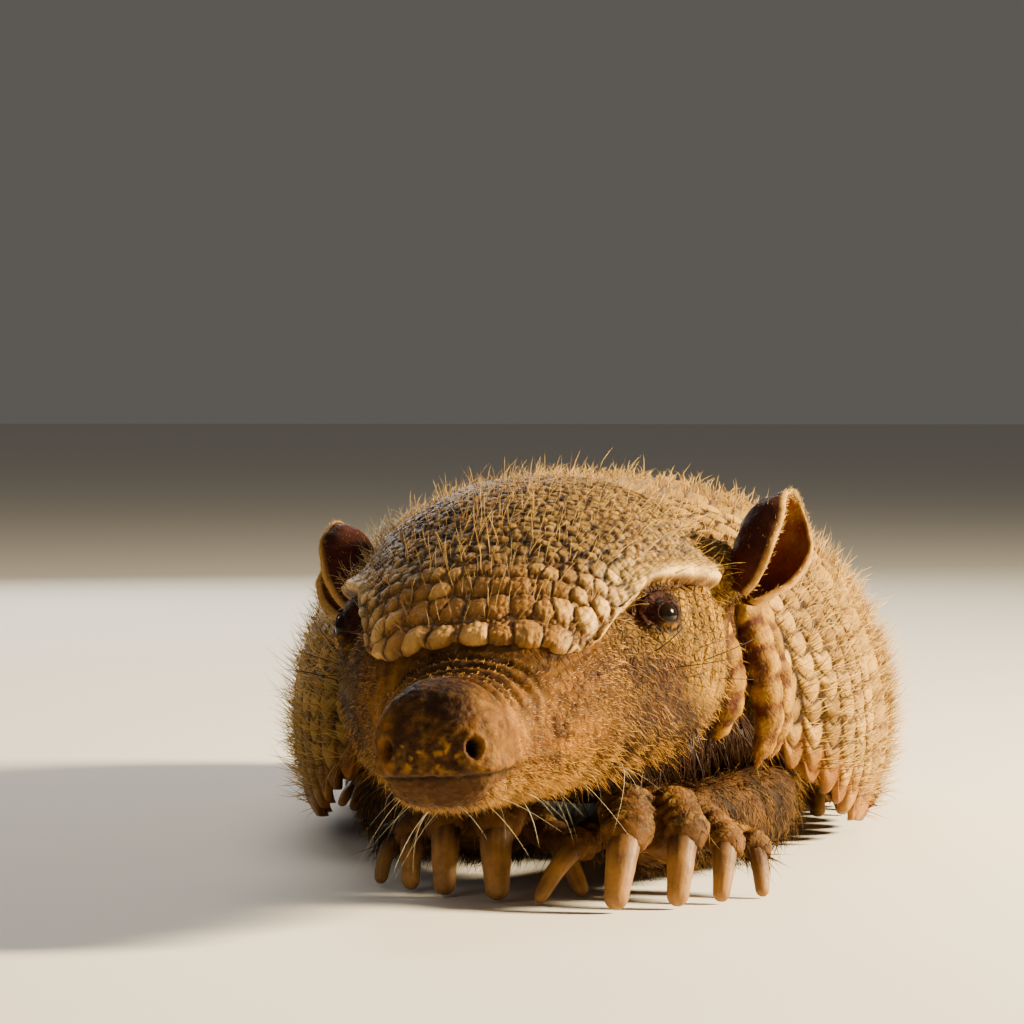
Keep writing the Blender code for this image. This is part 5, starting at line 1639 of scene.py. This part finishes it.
def hairPatches(roots, rings, along):
    # each hair has a patch of its own at its root's place: u = turn round the body, v = share of its length
    lowY, highY = cadBox[0][1] / mm, cadBox[1][1] / mm
    u = 0.5 + np.arctan2(roots[:, 0], roots[:, 2] - patch["middle"]) / (2 * np.pi)
    v = (roots[:, 1] - lowY) / (highY - lowY)
    low, high = patch["edge"], 1 - patch["edge"]
    corner = np.append(np.tile([-1.0, 1.0, 0.0], rings), 0.0) * patch["wide"]
    step = (along - 0.5) * patch["tall"]
    return np.stack([np.clip(u, low, high)[:, None] + corner, np.clip(v, low, high)[:, None] + step], -1)


def makeCoat(name, roots, normals, flow, rng, root, tip, length, width, lean, rings=2, clump=(2.5, 0.5),
             droop=0.15, curl=0.10, slot="skin"):
    # a hair is a three-sided spike along root + L (t d + t^2 b): d leans off the skin by lean degrees,
    # b bends it back along the flow; clump is (cell in mm, share of the way to its heart that tips go)
    count = len(roots)
    flow = unit(flow - np.einsum("ij,ij->i", flow, normals)[:, None] * normals + 1e-6)
    flow = unit(flow + 0.22 * rng.normal(size=(count, 3)))
    lean = np.radians(np.broadcast_to(lean, count) * rng.uniform(0.6, 1.4, count))[:, None]
    start = flow * np.cos(lean) + normals * np.sin(lean)
    bend = 0.45 * (flow - start) - droop * upward + curl * rng.normal(size=(count, 3))
    size, pull = clump
    cell = np.floor(roots / size)
    jitter = np.stack([hashed(*cell.T.astype(int), 90 + k) for k in range(3)], -1)
    pull = pull * ((cell + 0.25 + 0.5 * jitter) * size - roots)
    pull = pull - np.einsum("ij,ij->i", pull, normals)[:, None] * normals
    length = (np.broadcast_to(length, count) * rng.uniform(0.65, 1.25, count))[:, None]
    width = (np.broadcast_to(width, count) * rng.uniform(0.8, 1.25, count))[:, None]
    t = np.linspace(0, 1, rings + 1)
    side = unit(np.cross(start, normals) + 1e-6)
    rise = unit(np.cross(side, start))
    points = []
    for step in t[:-1]:
        middle = roots - rootDepth * normals + length * (step * start + step**2 * bend) + step**1.5 * pull
        radius = width * (1 - step) ** hairTaper / 2
        for corner in range(3):
            a = 2 * np.pi * corner / 3
            points.append(middle + radius * (math.cos(a) * side + 0.7 * math.sin(a) * rise))
    points.append(roots - rootDepth * normals + length * (start + bend) + pull)
    points = np.stack(points, 1)
    points[..., 2] = np.maximum(points[..., 2], 0.1)
    quads, tris = spikeFaces(count, rings)
    along = np.append(np.repeat(t[:-1], 3), 1.0)
    # root colour to tip colour, with a tone of its own for each hair
    tone = rng.uniform(0.7, 1.2, count) * (1 + 0.18 * cloud(roots, 6.0, 91))
    ends = [np.broadcast_to(colour, (count, 1, 3)) for colour in (root, tip)]
    tint = mix(*ends, np.broadcast_to(along, (count, 3 * rings + 1))) * tone[:, None, None]
    unwrap = hairPatches(roots, rings, along).reshape(-1, 2)
    makePiece(name, (points.reshape(-1, 3), quads, tris), tint.reshape(-1, 3), None, hairMaterial, slot,
              unwrap=unwrap)
    print(f"  {name}: {count} hairs, {count * (6 * rings - 2)} triangles")


def directions(roots, ahead, out, up, turn=headTurn):
    # one direction for each root: (ahead, out away from the middle plane, up), turned with the head or not
    side = np.sign(roots[:, 0])
    rows = np.stack([ahead + 0 * side, out * side, up + 0 * side], -1)
    return turn(rows)


def bodyTurn(vectors):
    # (ahead, out, up) of the body is (out, -ahead, up) of the model's frame
    ahead, out, up = np.moveaxis(vectors, -1, 0)
    return np.stack([out, -ahead, up], -1)


def darkShare(share):
    # fur tip colour, darkened by a share from 0 to 1 for each hair
    return mix(srgb("furTip"), srgb("furRoot"), share[:, None])


def shieldEdge(s):
    # height of the shield's lower edge on the side of the head
    reach = np.radians(np.interp(s, *np.array(headShield["reach"]).T))
    at = np.clip(s, 0, headEnd)
    crown, level = through(head["stations"], 2, at), through(head["stations"], 4, at)
    return level + (crown - level) * hoop(reach, head["crownRound"])[1]


def eyeRing(points):
    # distance from the nearer eye as an almond: sqrt((along / 4.2)^2 + (rise / 3.4)^2)
    ring = np.full(len(points), 9.0)
    for side in (-1, 1):
        along, rise, gaze = nearEye(points, side)[:3]
        q = np.sqrt((along / 4.2) ** 2 + (rise / 3.4) ** 2)
        ring = np.where(byEye(gaze), np.minimum(ring, q), ring)
    return ring


def faceDensity(points):
    # full from behind the eyes to the nose pad, thinner on the snout's ridge, the chin, the bare scales and
    # the folds, none on the shield or in the lids; half as dense on the skin under the ears
    s, out, up = headInverse(points)
    uncovered = (up < shieldEdge(s) - 0.2) | (s > headShield["front"] + 1)
    flank = (np.abs(out) > 22) & (up > 24)
    chin = 7.0 * (up < 25.6)
    start = 13.0 - 16.0 * ~flank
    density = ramp(s, start, 17.0 - 16.0 * ~flank) * (1 - ramp(s, 78.0 + chin, 80.5 + chin))
    density = density * (1 - 0.35 * ramp(s, 62.0, 68.0) * ramp(up - 0.5 * np.abs(out), 30.0, 36.0))
    density = density * (0.5 + 0.5 * ramp(up, 22.0, 27.0)) * (1 - 0.45 * cheekScales(points))
    density = density * (0.55 + 0.45 * ramp(s, 46.0, 60.0)) * uncovered * (s > -14)
    density = density * ramp(eyeRing(points), 1.0, 1.2)
    density = density * (1 - 0.72 * cheekFolds(points)[0])
    stalk = (np.abs(out) > 25) * (up > 50) * ramp(s, 4.0, 7.0) * (1 - ramp(s, 22.0, 26.0))
    return np.maximum(density, 0.5 * stalk)


def faceFlow(points):
    # back and a little outwards, and down over the front of the cheeks
    s, out, up = headInverse(points)
    down = -0.55 * ramp(-s, -70.0, -45.0) * ramp(up, 24.0, 34.0)
    return headTurn(np.stack([-0.9 + 0 * s, 0.18 * np.sign(out), down], -1))


def halfFace(side):
    # faceDensity on one side of the head only
    return lambda points: faceDensity(points) * (side * headInverse(points)[1] > 0)


rng = np.random.default_rng(11)
faceFur = {"lean": 21.0, "clump": (1.3, 0.75)}
for side, word in ((-1, "right"), (1, "left")):
    roots, normals = sampleRoots(headPart, halfFace(side), 19000, rng)
    s, out, up = headInverse(roots)
    length = 1.1 + 1.3 * ramp(-s, -72.0, -50.0) + 1.5 * (1 - ramp(up, 24.0, 33.0))
    width = 0.14 + 0.05 * (1 - ramp(s, 50.0, 66.0))
    # darker round the eye, in patches, and hair by hair
    dark = 0.65 * bump(eyeRing(roots), 1.3, 0.5) + 0.60 * ramp(cloud(roots, 4.5, 92), -0.05, 0.35)
    dark = np.clip(dark + 0.80 * (rng.random(len(s)) < 0.5 - 0.25 * ramp(s, 56.0, 68.0)), 0, 0.95)
    makeCoat(f"face_fur_{word}", roots, normals, faceFlow(roots), rng, root=srgb("furRoot") * 0.35,
             tip=darkShare(dark), length=length, width=width, **faceFur)


def snoutDensity(points):
    # the snout as far as the pad, 7 mm further under the chin, nearly bare along its ridge
    s, out, up = headInverse(points)
    bare = ramp(s, 67.0, 70.0) * ramp(up - 0.5 * np.abs(out), 31.0, 36.0)
    chin = 7.0 * (up < 25.6)
    uncovered = (up < shieldEdge(s)) | (s > headShield["front"] + 1)
    return ramp(s, 50.0, 60.0) * (1 - ramp(s, 79.0 + chin, 81.5 + chin)) * (1 - 0.85 * bare) * uncovered


snoutFur = {"width": 0.19, "lean": 52.0, "rings": 1, "clump": (1.0, 0.5)}
roots, normals = sampleRoots(headPart, snoutDensity, 26000, rng)
up = headInverse(roots)[2]
dark = 0.30 + 0.5 * (rng.random(len(up)) < 0.35)
length = 0.85 + 0.9 * (1 - ramp(up, 23.0, 28.0))
makeCoat("snout_fur", roots, normals, faceFlow(roots), rng, root=srgb("snout") * 0.6, tip=darkShare(dark),
         length=length, **snoutFur)

earHair = {"length": 1.2, "width": 0.11, "lean": 38.0, "rings": 1, "clump": (1.0, 0.2)}
rimHairs = 900
roots, normals = [], []
for part, gap in earParts:
    allNormals = triNormals(*triCorners(part))
    rim = rng.choice(np.flatnonzero(gap < 0.8), rimHairs)
    earRoots, earNormals = sampleRoots(part, lambda p: np.ones(len(p)), 1400, rng)
    roots += [part[0][rim] + 0.2 * rng.normal(size=(rimHairs, 3)), earRoots]
    normals += [allNormals[rim], earNormals]
roots, normals = np.concatenate(roots), np.concatenate(normals)
makeCoat("ear_hair", roots, normals, directions(roots, -0.3, 0.5, 0.8), rng, root=srgb("earRim") * 0.6,
         tip=srgb("bristle"), **earHair)

foldHair = {"length": 2.2, "width": 0.14, "lean": 26.0, "rings": 1, "clump": (1.5, 0.4)}
roots, normals = sampleRoots(joined(foldParts), lambda p: np.abs(p[:, 0]) > 25, 2600, rng)
makeCoat("fold_hair", roots, normals, directions(roots, -0.7, 0.3, -0.7), rng, root=srgb("furRoot"),
         tip=srgb("furTip"), **foldHair)


def legDensity(foot, side):
    # dense from the wrist backwards, thin on the scaly toes and near the floor
    def density(points):
        spin, place = footMatrix(foot, side)
        scaly = toeRelief(points, np.zeros_like(points), foot, side)[1]
        behind = ramp(((points - place) @ spin)[:, 1], *foot["furFrom"])
        return (0.06 + 0.94 * behind) * (1 - 0.85 * scaly) * ramp(points[:, 2], 1.0, 4.0)
    return density


legFur = {"length": 4.8, "width": 0.24, "lean": 19.0, "clump": (2.2, 0.7)}
roots, normals = [], []
for foot, side, part in limbParts:
    legRoots, legNormals = sampleRoots(part, legDensity(foot, side), 4500, rng)
    roots.append(legRoots)
    normals.append(legNormals)
roots, normals = np.concatenate(roots), np.concatenate(normals)
dark = (0.56 + 0.36 * (rng.random(len(roots)) < 0.6))[:, None]
tip = mix(srgb("furTip") * 0.9, srgb("furRoot"), dark)
makeCoat("leg_fur", roots, normals, directions(roots, 0.55, 0.35, -0.75, bodyTurn), rng,
         root=srgb("furRoot") * 0.4, tip=tip, **legFur)


def hemDensity(points):
    # along the flanks between 2 and 26 mm over the floor, and thinly underneath
    z, x = points[:, 2], np.abs(points[:, 0])
    return ramp(x, 22.0, 34.0) * ramp(z, 2.0, 6.0) * (1 - ramp(z, 20.0, 26.0)) + 0.10 * (z < 6) * (x < 45)


bellyFur = {"length": 7.0, "width": 0.22, "lean": 22.0, "clump": (4.0, 0.5), "droop": 0.25}
roots, normals = sampleRoots(trunkPart, hemDensity, 6000, rng)
makeCoat("belly_fur", roots, normals, directions(roots, -0.35, 0.55, -0.8, bodyTurn), rng,
         root=srgb("furRoot"), tip=srgb("furTip"), **bellyFur)


def chestDensity(points):
    # the throat and the front of the chest, under 32 mm
    s, out, up = headInverse(points)
    return (points[:, 2] < 32) * (np.abs(out) < 30) * (1 - ramp(s, 28.0, 40.0))


# the hair is real, but its dark colour is painted shade under the chin
chestFur = {"length": 11.0, "width": 0.26, "lean": 40.0, "clump": (4.0, 0.5), "droop": 0.3}
roots, normals = sampleRoots(headPart, chestDensity, 2400, rng)
makeCoat("chest_fur", roots, normals, directions(roots, -0.3, 0.3, -1.0, bodyTurn), rng,
         root=srgb("furRoot") * 0.5, tip=srgb("furRoot") * 1.6, **chestFur)

# bristles behind the scutes, more and longer down the sides, three in ten of them standing up
shellBristles = {"width": 0.20, "clump": (5.0, 0.35), "droop": 0.12, "curl": 0.08, "slot": "scute"}
roots, normals, flow = (np.concatenate(list(column)) for column in zip(*coatRoots))
share = 0.55 + 0.45 * ramp(np.abs(roots[:, 0]), 25.0, 50.0)
chosen = rng.choice(len(roots), 17000, replace=False, p=share / share.sum())
roots, normals, flow = roots[chosen], normals[chosen], flow[chosen]
lean = np.where(rng.random(len(roots)) < 0.3, 48.0, 24.0)
length = 5.2 + 2.4 * ramp(np.abs(roots[:, 0]), 35.0, 50.0) + 1.5 * rng.random(len(roots))
makeCoat("shell_bristles", roots, normals, flow - 0.25 * upward, rng, root=srgb("bristleRoot"),
         tip=srgb("bristle"), length=length, lean=lean, **shellBristles)

crownBristles = {"length": 5.8, "width": 0.12, "lean": 36.0, "rings": 3, "clump": (5.0, 0.0), "droop": 0.03,
                 "curl": 0.16, "slot": "scute"}
roots, normals, flow = crownRoots
chosen = rng.choice(len(roots), 1900, replace=False)
tip = mix(srgb("bristle"), srgb("bristleRoot") * 0.4, (rng.random(len(chosen)) < 0.45)[:, None])
makeCoat("crown_bristles", roots[chosen], normals[chosen], flow[chosen], rng, root=srgb("bristleRoot"),
         tip=tip, **crownBristles)

# thicker and longer over the root of the tail
tailHair = {"width": 0.18, "lean": 20.0}
roots, normals = sampleRoots(tailPart, lambda p: 0.35 + 0.65 * (p[:, 1] < 122), 4200, rng)
length = 2.6 + 2.6 * (1 - ramp(roots[:, 1], 110.0, 126.0))
makeCoat("tail_hair", roots, normals, directions(roots, -1.0, 0.3, -0.1, bodyTurn), rng,
         root=srgb("furRoot"), tip=srgb("bristle"), length=length, **tailHair)


def chinDensity(points):
    # under the jaw from the cheeks to the lip
    s, out, up = headInverse(points)
    return ramp(s, 24.0, 50.0) * (1 - ramp(s, 86.0, 90.0)) * (1 - ramp(up, 23.5, 27.0)) * (np.abs(out) < 24)


# long pale whiskers that start sideways and curl down
chinWhiskers = {"width": 0.13, "lean": 12.0, "rings": 10, "clump": (5.0, 0.0), "droop": 1.10, "curl": 0.40}
roots, normals = sampleRoots(headPart, chinDensity, 42, rng)
s, out, up = headInverse(roots)
flow = headTurn(np.stack([0.15 + 0.4 * rng.normal(size=len(s)), 1.3 * np.sign(out), 0.6 + 0 * s], -1))
makeCoat("chin_whiskers", roots, normals, flow, rng, root=srgb("whisker"), tip=srgb("whisker"),
         length=rng.uniform(5.5, 9.5, len(s)), **chinWhiskers)

# six dark whiskers on each cheek, in three rows
cheekWhiskers = {"length": 19.0, "width": 0.26, "lean": 48.0, "rings": 9, "clump": (5.0, 0.0),
                 "droop": 0.05}
cheek = []
for side in (-1, 1):
    for k in range(6):
        cheek.append(headPlace(46.0 - 4.0 * k + rng.normal() * 1.5, side * 27.0, 43.0 - 2.4 * (k % 3)))
nearest = np.linalg.norm(headPart[0][None] - np.array(cheek)[:, None], axis=2).argmin(1)
roots, normals = headPart[0][nearest], triNormals(headPart[0], headPart[2])[nearest]
flow = headTurn(np.stack([np.full(12, -0.8), 0.5 * np.repeat([-1, 1], 6), np.full(12, 0.2)], -1))
makeCoat("cheek_whiskers", roots, normals, flow, rng, root=srgb("darkWhisker"), tip=srgb("darkWhisker"),
         **cheekWhiskers)
stage("coat")

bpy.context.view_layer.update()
stage("done")
